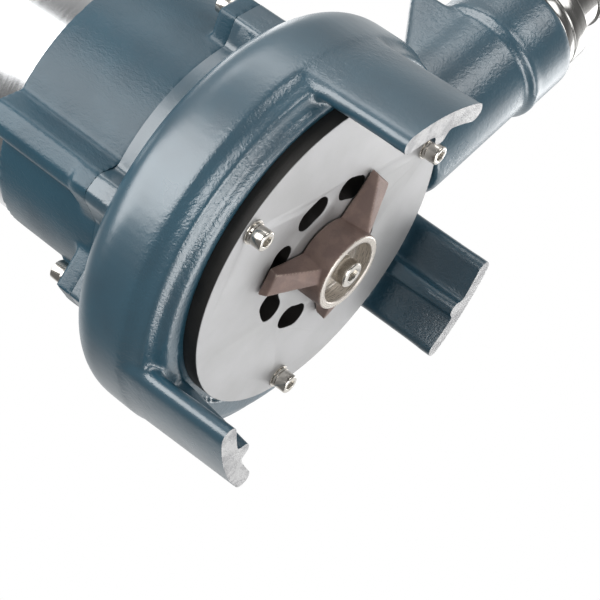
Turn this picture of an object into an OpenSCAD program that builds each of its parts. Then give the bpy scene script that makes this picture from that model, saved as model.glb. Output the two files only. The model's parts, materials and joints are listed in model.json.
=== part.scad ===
// Submersible sewage pump with a cutter in front of its suction plate.
// It stands on the ends of its three legs: z is zero there and runs up the shaft.
// The outlet points along +X.

/* [Legs and suction plate] */
// Height of the plate's lower face above the leg ends
plate_face_z = 37.8; // [30:0.1:50]
// Radius of the suction plate
plate_r = 82.2; // [78:0.1:84]
// Thickness of the suction plate
plate_t = 8; // [6:0.5:10]
// How far the plate stands below the casing's rim
plate_proud = 5.7; // [4:0.1:5.9]
// Gap round the plate in its recess
recess_gap = 4.4; // [2:0.1:5]
// Number of suction slots
slot_count = 8; // [6:1:8]
// Radius of the circle that the slots follow
slot_path_r = 35.3; // [33:0.1:38]
// Width of a suction slot
slot_w = 12.5; // [8:0.1:13]
// Angle between the centres of a slot's two round ends
slot_arc = 11.4; // [6:0.1:14]
// Angle of the first slot
slot_turn = 35.7; // [0:0.1:44]
// Radius of the circle of the plate's screws
plate_screw_path_r = 74.9; // [72:0.1:76]
// Angle of the first plate screw
plate_screw_turn = 113.8; // [108:0.1:118]
// Number of legs
leg_count = 3; // [3:1:3]
// Angle of the first leg
leg_turn = 170.6; // [165:0.1:175]
// Angle that a leg spans
leg_arc = 27; // [20:0.5:32]
// Radius of the legs' outer faces at their ends
leg_out_r = 104.4; // [103:0.1:106]
// Wall of a leg at its end
leg_wall = 9.4; // [8:0.1:10]
// Depth of the round rib inside a leg
leg_rib_depth = 6; // [4:0.1:7]
// Radius of the round rib
leg_rib_r = 4.3; // [3:0.1:5]

/* [Volute] */
// Radius of the path of the volute's tube
vol_path_r = 86.5; // [84:0.1:90]
// Outer radius of the volute's tube
vol_tube_r = 18.4; // [17:0.1:20]
// Wall of the casting
vol_wall = 6; // [4:0.1:7]
// Height of the volute's tube above the plate's seat
vol_rise = 30.2; // [28:0.1:34]
// Distance from the shaft to the volute's own centre
vol_shift = 4.7; // [3:0.1:5.5]
// Direction of the volute's own centre
vol_shift_turn = 149; // [140:1:160]
// Step between the oil chamber's wall and the wider collar on top of the volute
collar_step = 1.8; // [1:0.1:4]
// Height of the joint with the oil chamber above the plate's seat
joint_rise = 63.7; // [60:0.1:70]
// Width of the flat rim round the recess
rim_land_w = 4.9; // [3:0.1:6]
// Radius of the fine ridge outside the rim
ridge_r = 2.5; // [2:0.1:3]

/* [Outlet] */
// Sideways place of the outlet's axis
out_y = 24; // [20:0.1:28]
// Height of the outlet's axis above the leg ends
out_z = 68; // [64:0.1:72]
// Outer radius of the outlet neck
neck_r = 30.8; // [29:0.1:32]
// Outer radius of the outlet collar
out_collar_r = 33.8; // [33:0.1:36]
// Where the outlet collar starts
out_collar_x = 157; // [150:0.5:165]
// Length of the outlet collar
out_collar_len = 30.8; // [25:0.1:36]
// Radius of the water way in the outlet
out_bore_r = 23; // [20:0.1:23.5]
// Outer radius of the threaded stub
stub_r = 26.5; // [26:0.1:27]
// Length of the threaded stub
stub_len = 11; // [9:0.1:13]
// Outer radius of the union nut
nut_r = 30.6; // [29:0.1:32]
// Length of the union nut
nut_len = 19.2; // [17.5:0.1:21]
// Outer radius of the hose tail
tail_r = 22.5; // [21:0.1:22.8]
// Wall of the hose tail
tail_wall = 3; // [2:0.1:4]
// Length of the hose tail's tube
tail_len = 46; // [35:1:60]
// Number of barbs on the hose tail
barb_count = 4; // [2:1:5]

/* [Cutter] */
// Outer radius of the cutter's hub
hub_r = 19.8; // [18:0.1:21]
// Height of the cutter's hub
hub_h = 16.2; // [15.5:0.1:18]
// Wall of the hub round the bolt's recess
hub_wall = 3.8; // [3:0.1:4.5]
// Depth of the bolt's recess
hub_recess = 8.9; // [8:0.1:9.5]
// Gap between the cutter and the plate
cutter_gap = 0.5; // [0.4:0.1:1]
// Radius at the blades' tips
blade_tip_r = 45.7; // [40:0.1:48]
// Number of blades
blade_count = 3; // [2:1:3]
// Angle of the first blade's cutting edge
blade_turn = 77.6; // [0:0.1:119]

/* [Impeller and shaft] */
// Outer radius of the impeller
imp_r = 60; // [52:0.5:61]
// Gap between the vanes and the plate
imp_gap = 1.2; // [0.8:0.1:2]
// Gap between the impeller and the seal plate
imp_back_gap = 3; // [2:0.1:4]
// Thickness of the impeller's disc
imp_disc_t = 5; // [4:0.1:6]
// Number of vanes
vane_count = 4; // [3:1:6]
// Thickness of a vane
vane_t = 5; // [4:0.1:6]
// Radius of the impeller's hub
imp_hub_r = 13; // [12:0.1:14]
// Radius of the shaft in the impeller and the cutter
shaft_nose_r = 8; // [7:0.1:8.4]
// Radius of the shaft in the seals
shaft_seal_r = 10; // [9.5:0.1:10.4]
// Radius of the shaft in the rotor core
shaft_core_r = 14; // [13:0.1:14.5]
// Width of the drive key
key_w = 4; // [3:0.1:5]

/* [Oil chamber] */
// Outer radius of the oil chamber
chamber_r = 73.2; // [73:0.1:74]
// Height of the oil chamber above its joint
chamber_h = 63.5; // [62:0.1:70]
// Radius of the oil space
oil_r = 56; // [50:0.1:58]
// Thickness of the seal plate
seal_plate_t = 11; // [10:0.1:12]
// Depth of the spigot in the casing, with the seal plate
spigot_h = 17.5; // [17:0.1:18.5]
// Angle of the first lug
lug_turn = -67; // [-70:1:-64]
// Distance from the oil chamber's wall to a lug's screw
lug_screw_stand = 9.4; // [8.5:0.1:10]
// Distance from the oil chamber's wall to a lug's outer corner
lug_stand = 17.3; // [16.5:0.1:18.5]
// Height of a lug on the oil chamber
lug_h = 10; // [8:0.1:14]
// Height of a lug on the casing
casing_lug_h = 17.5; // [15:0.1:19]
// Angle of the long boss on the oil chamber
boss_turn = -144; // [-150:1:-140]
// Distance from the oil chamber's wall to the long boss's ridge
boss_stand = 14.8; // [11:0.1:16]

/* [Motor] */
// Length of the motor shell
shell_len = 157; // [150:1:180]
// Outer radius of the motor shell
shell_r = 71.5; // [71.2:0.1:72]
// Wall of the motor shell
shell_wall = 1.5; // [1:0.1:1.6]
// Room above the cores for the windings and the bearing bracket
core_top_room = 30; // [29:0.5:34]
// Radius of the stator's bore
stator_bore_r = 35; // [34:0.1:36]
// Air gap between the rotor and the stator
air_gap = 0.4; // [0.3:0.05:0.6]
// Number of stator slots
stator_slots = 24; // [18:6:24]
// Height of the windings beyond the core
winding_h = 14; // [10:0.5:14.5]
// Distance from the shaft to a stay bolt
stay_path_r = 64.4; // [64.2:0.1:64.6]
// Number of stay bolts
stay_count = 4; // [4:1:4]

/* [Top cover] */
// Thickness of the cover's flange
flange_t = 12; // [9:0.5:14]
// Outer radius of the cover's bell
bell_r = 58; // [57:0.1:59]
// Height of the cover's bell above its flange
bell_h = 54; // [52:0.5:70]
// Wall of the cover's bell
bell_wall = 8; // [6.5:0.1:8.5]
// Thickness of the bearing bracket
bracket_t = 10; // [8:0.5:11]
// Height of the handle above the cover
handle_h = 44; // [40:1:60]
// Distance between the handle's uprights
handle_span = 64; // [60:1:68]
// Width of the handle's strip
handle_w = 22; // [18:1:24]
// Thickness of the handle's strip
handle_t = 4; // [3:0.1:5]
// Distance from the shaft to the cable gland
gland_x = 34; // [30:0.5:36]
// Radius of the cable's hole in the grommet
cable_r = 5.2; // [4:0.1:5.8]

/* [Hidden] */
$fn = 96;

// One overrun for every cut
cut = 1;
// Gap of a screw in its thread
thread_gap = 0.05;
// Gap of a screw in a clearance hole
hole_gap = 0.4;
// Gap of a spigot in its bore
spigot_gap = 0.2;
// Gap of parts that run on each other
run_gap = 0.06;
// Gap of parts that lie loosely on each other
loose_gap = 0.3;

// M6 socket screw: thread and head radius, head height, hexagon radius and depth
m6_r = 3;
m6_head_r = 5;
m6_head_h = 6;
m6_hex_r = 2.9;
m6_hex_depth = 3.2;
// M8 socket screw
m8_r = 4;
m8_head_r = 6.5;
m8_head_h = 8;
m8_hex_r = 3.5;
m8_hex_depth = 4;
// M5 screw for the bracket
m5_r = 2.5;
m5_head_r = 4.2;
m5_head_h = 3;
m5_hex_r = 1.9;
m5_hex_depth = 1.6;
// Edge rounding of screw heads
head_round = 0.6;
// Spring and flat washers
m6_spring_t = 1.5;
m6_spring_r = 5.2;
m6_flat_t = 0.8;
m6_flat_r = 6;
m8_spring_t = 2;
m8_spring_r = 6.9;
m8_flat_t = 1.2;
m8_flat_r = 8.4;
// Gap of a split washer's ends
split_gap = 0.8;

// Levels up the shaft
seat_z = plate_face_z + plate_t;
rim_z = plate_face_z + plate_proud;
vol_z = seat_z + vol_rise;
joint_z = seat_z + joint_rise;
chamber_top_z = joint_z + chamber_h;
shell_top_z = chamber_top_z + shell_len;
flange_top_z = shell_top_z + flange_t;
bell_top_z = flange_top_z + bell_h;
cutter_base_z = plate_face_z - cutter_gap;
hub_face_z = cutter_base_z - hub_h;
recess_floor_z = hub_face_z + hub_recess;
spigot_z = joint_z - spigot_h;
seal_plate_top_z = spigot_z + seal_plate_t;

// Casing
recess_r = plate_r + recess_gap;
collar_r = chamber_r + collar_step;
lug_screw_path_r = chamber_r + lug_screw_stand;
lug_reach = chamber_r + lug_stand;
boss_reach = chamber_r + boss_stand;
channel_r = vol_tube_r - vol_wall;
vol_out_r = vol_path_r + vol_tube_r;
// Bore that the impeller turns in, and the wider bore for the spigot
imp_run = 3;
imp_bore_r = imp_r + imp_run;
spigot_bore_r = imp_bore_r + imp_run;
spigot_r = spigot_bore_r - spigot_gap;
// Roundings and steps of the casing's lower rim
rim_round_r = 2;
rim_step_w = 1;
valley_w = 3;
fillet_r = 7;
fillet_side = 3.9;
fillet_rise = 9.1;
// Lowest part of the volute's outside that is straight
wall_foot = 16.5;
// Lean of the rib inside a leg, and how far a leg starts inside the shoulder
leg_rib_lean = 7.5;
leg_root_step = 0.6;
// Points on a curve of the outline
arc_steps = 8;
top_steps = 18;
// Depth of a tapped hole
tap_depth = 13;
lug_tap_depth = 15;
// Angles of a lug's four corners from its screw
lug_corner_turns = [-11, -8, 3, 14];
// Angles of the long boss's corners from its ridge
boss_corner_turns = [11, 6, 0, -4, -12];
boss_corner_shares = [1, 0.977, 1, 0.977, 1];
// Foot of the long boss: it widens to a lug at the joint
boss_foot_turns = [9, 6, 0.5, -3, -18];
boss_foot_shares = [1, 0.977, 1.023, 1, 1];
boss_foot_h = 10;
// Web between the shoulder and the outlet collar
web_t = 11;
web_side = -4;
web_start_x = 117;
web_high_x = 149;
web_foot_z = 80;
web_low_z = 88;
web_top_z = 110;
// Lip at the start of the outlet collar
lip_h = 0.5;
lip_len = 2.6;
collar_round = 2;
neck_start_x = 84;
cone_start_x = 88;
cone_end_x = 112;
out_face_x = out_collar_x + out_collar_len;
stub_end_x = out_face_x + stub_len;
gasket_t = 2;
gasket_r = stub_r - hole_gap / 4;
flange_tail_t = 3;
tail_face_x = stub_end_x + gasket_t;
tail_step_x = tail_face_x + flange_tail_t;
barb_h = 1.2;
barb_len = 6;
nut_start_x = out_face_x + 2 * head_round;
nut_end_x = nut_start_x + nut_len;
nut_chamfer = 3.2;
nut_bore_r = stub_r + run_gap;
nut_lip_r = tail_r + loose_gap;
nut_groove = 0.5;

// Impeller and shaft
nose_gap = 1;
hub_top_gap = 1;
imp_disc_top_z = spigot_z - imp_back_gap;
imp_disc_z = imp_disc_top_z - imp_disc_t;
hub_top_z = spigot_z - hub_top_gap;
shaft_end_z = recess_floor_z + nose_gap;
vane_curve_r = 38;
vane_centre = 30;
key_depth = 2.4;
key_stand = 1.5;
key_len = 44;
bolt_reach = 20;
bolt_hole_depth = 26;

// Seals
seal_seat_r = 17;
seal_lip_t = 2;
seal_seat_proud = 0.5;
seal_head_r = 15;
seal_head_h = 7;
seal_spring_r = 12.7;
seal_wire_r = 1;
seal_spring_h = 17;
seal_spring_turns = 5;
seal_collar_r = 16;
seal_collar_h = 5;
seal_seat_z = spigot_z + seal_lip_t;
seal_face_z = seal_plate_top_z + seal_seat_proud;
seal_head_z = seal_face_z + run_gap;
seal_spring_z = seal_head_z + seal_head_h + loose_gap / 2;
seal_collar_z = seal_spring_z + seal_spring_h + loose_gap / 2;
lip_seal_r = 17.5;
lip_seal_t = 7;
// Rings of eight points and six sides a turn make the spring's wire
wire_rings = 10;
wire_sides = 6;

// Bearings: bore, outer radius, width and number of balls
low_bore = 12.5;
low_out = 26;
low_w = 15;
low_ball_count = 9;
up_bore = 8.5;
up_out = 20;
up_w = 12;
up_ball_count = 8;
bearing_fit = 0.02;
// Shares of a bearing's section
ball_share = 0.295;
shoulder_share = 0.45;
cage_share = 0.2;
cage_rim_share = 0.2;

// Oil chamber
oil_space_top = 25;
lip_seal_z = chamber_top_z - oil_space_top + seal_lip_t;
low_bearing_z = lip_seal_z + lip_seal_t + 1.5 * seal_lip_t;
boss_ring_r = 32;
boss_ring_h = 4;
spigot_len = 12;
shell_in_r = shell_r - shell_wall;
cover_spigot_r = shell_in_r - spigot_gap;
cover_spigot_in_r = 60;
oil_spigot_h = spigot_h - seal_plate_t;
// O-rings and their grooves
big_o_r = 1.15;
small_o_r = 0.8;
groove_gap = 0.05;
oil_plug_turn = 95;
oil_plug_rise = 27;
oil_plug_r = 6;
oil_plug_head_r = 9;
oil_plug_head_h = 5;
oil_plug_len = 12;
oil_plug_hex_r = 3.5;
oil_washer_t = 1.5;
oil_face_r = 11;
oil_face_depth = 1.2;
// Cast pad on the oil chamber
pad_turn = 160;
pad_w = 4;
pad_depth = 10;
pad_h = 18;
pad_reach = 2.2;

// Motor
core_rise = 32;
core_len = shell_len - core_rise - core_top_room;
core_z = chamber_top_z + core_rise;
core_top_z = core_z + core_len;
stator_r = shell_in_r - loose_gap;
rotor_r = stator_bore_r - air_gap;
slot_in_r = 38;
slot_out_r = 54;
slot_t = 5;
slot_mouth = 2;
winding_r = 55.5;
winding_in_r = 37.5;
winding_round = 3;
end_ring_r = 33;
end_ring_in_r = 17;
end_ring_t = 6;
shoulder_r = 15;
shoulder_t = 5;
core_stop = 3;
neck_up_r = 11;
stay_tap = 8;

// Top cover and what it holds
bracket_top_z = shell_top_z - seal_lip_t;
bracket_z = bracket_top_z - bracket_t;
bracket_r = cover_spigot_in_r - spigot_gap;
bracket_hub_r = 25;
bracket_hub_z = core_top_z + end_ring_t + 2.5 * nose_gap;
bracket_roof = 2;
pocket_top_z = bracket_top_z - bracket_roof;
wave_t = 1;
up_bearing_z = pocket_top_z - up_w - wave_t - 2 * spigot_gap;
wave_in_r = 14.5;
bracket_screw_path_r = 55;
bracket_screw_len = 20;
wire_hole_r = 6;
wire_hole_path_r = 40;
bell_in_r = bell_r - bell_wall;
bell_roof = 8;
bell_round = 6;
flange_round = 2;
cover_spigot_len = 18;
cap_r = 18;
cap_h = 50;
cap_x = -26;
cap_round = 2;
clamp_t = 1.6;
clamp_h = 10;
clamp_rise = 18;
block_x = 26;
block_w = 16;
block_len = 36;
block_h = 14;
block_screw_r = 2.2;
block_screw_count = 4;
gland_stub_r = 9;
gland_bore_r = 8.2;
gland_flange_r = 14;
gland_flange_h = 6;
gland_barrel_r = 11;
gland_barrel_h = 11;
gland_nut_lift = 2.5;
gland_nut_h = 14;
gland_lip = 4;
grommet_r = 8;
grommet_h = 26;
handle_round = 9;
foot_len = 16;
grip_len = 42;
grip_wall = 3.6;
grip_round = 3;

function pol(r, a) = [r * cos(a), r * sin(a)];
function arc(cx, cy, r, from, to, n) =
    [for (i = [0:n]) [cx, cy] + pol(r, from + (to - from) * i / n)];

// Round ring between two radii and two levels
module ring(r_out, r_in, z0, z1) {
    difference() {
        translate([0, 0, z0]) cylinder(r = r_out, h = z1 - z0);
        translate([0, 0, z0 - cut]) cylinder(r = r_in, h = z1 - z0 + 2 * cut);
    }
}

module disc(r, z0, z1) {
    translate([0, 0, z0]) cylinder(r = r, h = z1 - z0);
}

// Copies what follows round the shaft
module around(count, path_r, first) {
    for (i = [0:count - 1])
        rotate([0, 0, first + i * 360 / count])
            translate([path_r, 0, 0])
                children();
}

// Frame of the volute's own centre
module on_volute() {
    translate([vol_shift * cos(vol_shift_turn), vol_shift * sin(vol_shift_turn), 0])
        children();
}

// Frame of the outlet: its local z runs along +X
module on_outlet() {
    translate([0, out_y, out_z])
        rotate([0, 90, 0])
            children();
}

// Socket screw: the shank runs up from zero, the head hangs below it
module socket_screw(r, len, head_r, head_h, hex_r, hex_depth) {
    difference() {
        union() {
            cylinder(r = r, h = len);
            rotate_extrude()
                polygon([[0, -head_h], [head_r - head_round, -head_h], [head_r, head_round - head_h],
                    [head_r, 0], [0, 0]]);
        }
        translate([0, 0, -head_h - cut]) cylinder(r = hex_r, h = hex_depth + cut, $fn = 6);
    }
}

// Split spring washer from zero up
module spring_washer(r_out, r_in, t) {
    difference() {
        ring(r_out, r_in, 0, t);
        translate([0, -split_gap / 2, -cut]) cube([r_out + cut, split_gap, t + 2 * cut]);
    }
}

module capsule_2d(w, h, r) {
    square([w - 2 * r, h], center = true);
    square([w, h - 2 * r], center = true);
    for (x = [-1, 1])
        for (y = [-1, 1])
            translate([x * (w / 2 - r), y * (h / 2 - r)]) circle(r = r);
}

// Screw places
module at_plate_screws() {
    around(leg_count, plate_screw_path_r, plate_screw_turn) children();
}

module at_lug_screws() {
    around(leg_count, lug_screw_path_r, lug_turn) children();
}

module at_stays() {
    around(stay_count, stay_path_r, 45) children();
}

module at_bracket_screws() {
    around(stay_count, bracket_screw_path_r, 0) children();
}

// Outline of the casing's outside, about the volute's centre
module casing_outline() {
    land_r = recess_r + rim_land_w;
    valley_r = land_r + rim_round_r + rim_step_w + valley_w - ridge_r / 5;
    ridge_z = rim_z + 2 * rim_round_r + ridge_r + rim_step_w / 2;
    rotate_extrude()
        polygon(concat(
            [[0, rim_z]],
            arc(land_r, rim_z + rim_round_r, rim_round_r, -90, 0, arc_steps),
            [[land_r + rim_round_r + rim_step_w, rim_z + 2 * rim_round_r]],
            arc(valley_r + ridge_r, ridge_z, ridge_r, -135, -12, arc_steps),
            arc(vol_out_r + fillet_side, rim_z + fillet_rise, fillet_r, 192, 126, arc_steps),
            [[vol_out_r, rim_z + wall_foot]],
            arc(vol_path_r, vol_z, vol_tube_r, 0, 150, top_steps),
            [[0, vol_z]]
        ));
}

// Angle about the volute's centre of a place at angle a about the shaft
function leg_angle(a) = a + asin(vol_shift * sin(a - vol_shift_turn) / vol_out_r);

// Upright prism that leans outwards from a radius at the leg ends, with height
module leaning(r, lean, h) {
    translate([r, 0, 0])
        rotate([0, lean, 0])
            translate([-r, 0, -leg_rib_r])
                linear_extrude(h + leg_rib_r)
                    children();
}

module leg(a) {
    end_r = leg_out_r - vol_shift * cos(a - vol_shift_turn) / 2;
    in_r = end_r - leg_wall;
    mid_r = end_r - leg_wall / 2;
    half = leg_arc / 2;
    turn = 180 / arc_steps;
    root_z = rim_z + wall_foot;
    difference() {
        union() {
            leaning(end_r, atan((vol_out_r - leg_root_step - end_r) / root_z), root_z)
                polygon(concat(
                    arc(0, 0, end_r, -half, half, top_steps),
                    arc(mid_r * cos(half), mid_r * sin(half), leg_wall / 2,
                        half + turn, half + 180 - turn, arc_steps - 2),
                    arc(0, 0, in_r, half, -half, top_steps),
                    arc(mid_r * cos(half), -mid_r * sin(half), leg_wall / 2,
                        180 - half + turn, 360 - half - turn, arc_steps - 2)
                ));
            leaning(in_r, -leg_rib_lean, rim_z + 2 * rim_round_r + ridge_r)
                polygon(concat(
                    [[mid_r, leg_rib_r]],
                    arc(in_r - leg_rib_depth + leg_rib_r, 0, leg_rib_r, 90, 270, arc_steps),
                    [[mid_r, -leg_rib_r]]
                ));
        }
        translate([0, -end_r, -3 * leg_rib_r]) cube([2 * end_r, 2 * end_r, 3 * leg_rib_r]);
    }
}

module lug_plan(in_r) {
    reaches = [in_r, lug_reach - rim_round_r, lug_reach, in_r];
    polygon([for (i = [0:3]) pol(reaches[i], lug_corner_turns[i])]);
}

module boss_plan(turns, shares) {
    in_r = chamber_r - rim_round_r;
    reaches = [in_r, boss_reach, boss_reach, boss_reach, in_r];
    polygon([for (i = [0:4]) pol(reaches[i] * shares[i], turns[i])]);
}

module outlet_body() {
    on_outlet()
        rotate_extrude()
            polygon(concat(
                [[0, neck_start_x], [neck_r, neck_start_x], [neck_r, out_collar_x - lip_len]],
                [[out_collar_r + lip_h, out_collar_x], [out_collar_r + lip_h, out_collar_x + lip_len]],
                [[out_collar_r, out_collar_x + 2 * lip_len]],
                arc(out_collar_r - collar_round, out_face_x - collar_round, collar_round, 0, 90, arc_steps),
                [[stub_r, out_face_x], [stub_r, stub_end_x], [0, stub_end_x]]
            ));
}

// Flat web on top of the outlet neck
module outlet_web() {
    web_end_x = out_collar_x - lip_len;
    translate([0, web_side + web_t, 0])
        rotate([90, 0, 0])
            linear_extrude(web_t)
                polygon([[web_start_x, web_foot_z], [web_end_x, web_foot_z], [web_end_x, web_top_z],
                    [web_high_x, web_top_z], [web_start_x, web_low_z]]);
}

module pump_casing() {
    color("#37505e") difference() {
        union() {
            on_volute() {
                casing_outline();
                for (a = [leg_turn:360 / leg_count:leg_turn + 359])
                    rotate([0, 0, leg_angle(a)]) leg(a);
            }
            disc(collar_r, vol_z, joint_z);
            around(leg_count, 0, lug_turn)
                translate([0, 0, joint_z - casing_lug_h])
                    linear_extrude(casing_lug_h) lug_plan(collar_r - rim_round_r);
            translate([0, 0, joint_z - casing_lug_h])
                linear_extrude(casing_lug_h)
                    rotate(boss_turn) boss_plan(boss_foot_turns, boss_foot_shares);
            outlet_body();
            outlet_web();
        }
        disc(recess_r, -cut, seat_z);
        disc(imp_bore_r, plate_face_z, joint_z);
        disc(spigot_bore_r, spigot_z, joint_z + cut);
        on_volute() rotate_extrude() {
            translate([vol_path_r, vol_z]) circle(r = channel_r);
            translate([vol_path_r / 2, vol_z - channel_r]) square([vol_path_r / 2, 2 * channel_r]);
        }
        on_outlet() {
            disc(out_bore_r, cone_end_x, stub_end_x + cut);
            translate([0, 0, cone_start_x])
                cylinder(r1 = channel_r, r2 = out_bore_r, h = cone_end_x - cone_start_x + thread_gap);
        }
        at_plate_screws() disc(m6_r + thread_gap, seat_z - cut, seat_z + tap_depth);
        at_lug_screws() disc(m6_r + thread_gap, joint_z - lug_tap_depth, joint_z + cut);
    }
}

module suction_plate() {
    color("#b9bcbc") difference() {
        disc(plate_r, plate_face_z, seat_z);
        disc(imp_hub_r + hole_gap, plate_face_z - cut, seat_z + cut);
        for (i = [0:slot_count - 1])
            rotate([0, 0, slot_turn + i * 360 / slot_count]) {
                rotate([0, 0, -slot_arc / 2])
                    rotate_extrude(angle = slot_arc)
                        translate([slot_path_r - slot_w / 2, plate_face_z - cut])
                            square([slot_w, plate_t + 2 * cut]);
                for (s = [-1, 1])
                    rotate([0, 0, s * slot_arc / 2])
                        translate([slot_path_r, 0, 0])
                            disc(slot_w / 2, plate_face_z - cut, seat_z + cut);
            }
        at_plate_screws() disc(m6_r + hole_gap, plate_face_z - cut, seat_z + cut);
    }
}

plate_head_z = plate_face_z - m6_spring_t - m6_flat_t;

module plate_screws() {
    color("#c9c9c6") at_plate_screws()
        translate([0, 0, plate_head_z])
            socket_screw(m6_r, seat_z + tap_depth - nose_gap - plate_head_z, m6_head_r, m6_head_h,
                m6_hex_r, m6_hex_depth);
}

module plate_spring_washers() {
    color("#b4b4b0") at_plate_screws()
        translate([0, 0, plate_head_z])
            spring_washer(m6_spring_r, m6_r + hole_gap / 2, m6_spring_t);
}

module plate_flat_washers() {
    color("#bdbdb9") at_plate_screws()
        ring(m6_flat_r, m6_r + hole_gap / 2, plate_face_z - m6_flat_t, plate_face_z);
}

// One blade, its cutting edge on the x axis
module blade() {
    root_r = hub_r - hub_wall / 2;
    back_share = 0.926;
    low_tip_share = 0.974;
    low_back_share = 0.962;
    drop_shares = [0.883, 0.265, 0.327, 0.772];
    low = [pol(root_r, 5), pol(blade_tip_r * low_tip_share, 1.5),
        pol(blade_tip_r * low_back_share, 17.6), pol(root_r, 27)];
    high = [pol(root_r, -11), pol(blade_tip_r, 0), pol(blade_tip_r * back_share, 17.8), pol(root_r, 32)];
    polyhedron(
        points = concat(
            [for (i = [0:3]) [low[i][0], low[i][1], cutter_base_z - hub_h * drop_shares[i]]],
            [for (p = high) [p[0], p[1], cutter_base_z]]
        ),
        faces = concat(
            [[0, 1, 2], [0, 2, 3], [7, 6, 5], [7, 5, 4]],
            [for (i = [0:3]) [4 + i, 4 + (i + 1) % 4, (i + 1) % 4]],
            [for (i = [0:3]) [4 + i, (i + 1) % 4, i]]
        )
    );
}

module key_slot(z0, z1, r) {
    translate([0, -key_w / 2 - thread_gap, z0])
        cube([r + key_w - key_depth + thread_gap, key_w + 2 * thread_gap, z1 - z0]);
}

module cutter() {
    color("#6b5648") difference() {
        union() {
            rotate_extrude()
                polygon([[0, hub_face_z], [hub_r - head_round, hub_face_z], [hub_r, hub_face_z + head_round],
                    [hub_r, cutter_base_z], [0, cutter_base_z]]);
            for (i = [0:blade_count - 1])
                rotate([0, 0, blade_turn + i * 360 / blade_count]) blade();
        }
        disc(hub_r - hub_wall, hub_face_z - cut, recess_floor_z);
        disc(shaft_nose_r + thread_gap, hub_face_z, cutter_base_z + cut);
        key_slot(recess_floor_z - cut, cutter_base_z + cut, shaft_nose_r);
    }
}

bolt_head_z = recess_floor_z - m8_spring_t - m8_flat_t;

module cutter_bolt() {
    color("#cfcfcc")
        translate([0, 0, bolt_head_z])
            socket_screw(m8_r, recess_floor_z - bolt_head_z + bolt_reach, m8_head_r, m8_head_h,
                m8_hex_r, m8_hex_depth);
}

module cutter_spring_washer() {
    color("#b4b4b0")
        translate([0, 0, bolt_head_z])
            spring_washer(m8_spring_r, m8_r + hole_gap / 2, m8_spring_t);
}

module cutter_flat_washer() {
    color("#bdbdb9") ring(m8_flat_r, m8_r + hole_gap / 2, recess_floor_z - m8_flat_t, recess_floor_z);
}

module vane() {
    intersection() {
        difference() {
            translate([vane_centre, 0, 0])
                ring(vane_curve_r + vane_t / 2, vane_curve_r - vane_t / 2, seat_z + imp_gap, imp_disc_z + cut);
            disc(imp_hub_r - nose_gap, seat_z, imp_disc_top_z);
        }
        disc(imp_r - nose_gap, seat_z, imp_disc_top_z);
        translate([-imp_r, -2 * imp_r, seat_z]) cube([3 * imp_r, 2 * imp_r, imp_disc_top_z - seat_z]);
    }
}

module impeller() {
    color("#5a5f60") difference() {
        union() {
            disc(imp_r, imp_disc_z, imp_disc_top_z);
            disc(imp_hub_r, cutter_base_z, hub_top_z);
            around(vane_count, 0, 0) vane();
        }
        disc(shaft_nose_r + thread_gap, cutter_base_z - cut, hub_top_z + cut);
        key_slot(cutter_base_z - cut, hub_top_z + cut, shaft_nose_r);
    }
}

module drive_key() {
    color("#8a8a86")
        translate([shaft_nose_r - key_depth, -key_w / 2, shaft_end_z + key_stand])
            cube([key_w, key_w, key_len]);
}

module shaft() {
    color("#a9abac") difference() {
        rotate_extrude()
            polygon([
                [0, shaft_end_z], [shaft_nose_r, shaft_end_z],
                [shaft_nose_r, hub_top_z], [shaft_seal_r, hub_top_z],
                [shaft_seal_r, low_bearing_z], [low_bore - bearing_fit, low_bearing_z],
                [low_bore - bearing_fit, low_bearing_z + low_w], [shoulder_r, low_bearing_z + low_w],
                [shoulder_r, low_bearing_z + low_w + shoulder_t],
                [shaft_core_r, low_bearing_z + low_w + shoulder_t],
                [shaft_core_r, core_top_z + core_stop], [neck_up_r, core_top_z + core_stop],
                [neck_up_r, up_bearing_z], [up_bore - bearing_fit, up_bearing_z],
                [up_bore - bearing_fit, up_bearing_z + up_w], [0, up_bearing_z + up_w]
            ]);
        disc(m8_r + thread_gap, shaft_end_z - cut, shaft_end_z + bolt_hole_depth);
        translate([shaft_nose_r - key_depth - thread_gap, -key_w / 2 - thread_gap, shaft_end_z - cut])
            cube([key_w, key_w + 2 * thread_gap, key_stand + key_len + thread_gap + cut]);
    }
}

module seal_plate() {
    color("#4d5a60") difference() {
        disc(spigot_r, spigot_z, seal_plate_top_z);
        disc(seal_seat_r, seal_seat_z, seal_plate_top_z + cut);
        disc(shaft_seal_r + nose_gap, spigot_z - cut, seal_plate_top_z);
    }
}

module seal_seat() {
    color("#e6e2d6")
        ring(seal_seat_r - thread_gap, shaft_seal_r + nose_gap / 2, seal_seat_z, seal_face_z);
}

module seal_head() {
    color("#3c3c3c")
        ring(seal_head_r, shaft_seal_r + run_gap, seal_head_z, seal_head_z + seal_head_h);
}

// Points of the seal spring's wire
function wire_ring(i, n) =
    let (a = 360 * i / wire_rings,
        lift = (seal_spring_h - 2 * seal_wire_r) * i / n,
        centre_z = seal_spring_z + seal_wire_r + lift)
    [for (s = [0:wire_sides - 1])
        let (b = 360 * s / wire_sides, r = seal_spring_r + seal_wire_r * cos(b))
        [r * cos(a), r * sin(a), centre_z + seal_wire_r * sin(b)]];

module seal_spring() {
    n = wire_rings * seal_spring_turns;
    m = wire_sides;
    rings = [for (i = [0:n]) wire_ring(i, n)];
    color("#c2c2c0") polyhedron(
        points = [for (r = rings) each r],
        faces = concat(
            [[for (s = [0:m - 1]) s]],
            [[for (s = [0:m - 1]) n * m + m - 1 - s]],
            [for (i = [0:n - 1]) for (s = [0:m - 1])
                [i * m + s, (i + 1) * m + s, (i + 1) * m + (s + 1) % m]],
            [for (i = [0:n - 1]) for (s = [0:m - 1])
                [i * m + s, (i + 1) * m + (s + 1) % m, i * m + (s + 1) % m]]
        )
    );
}

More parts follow.
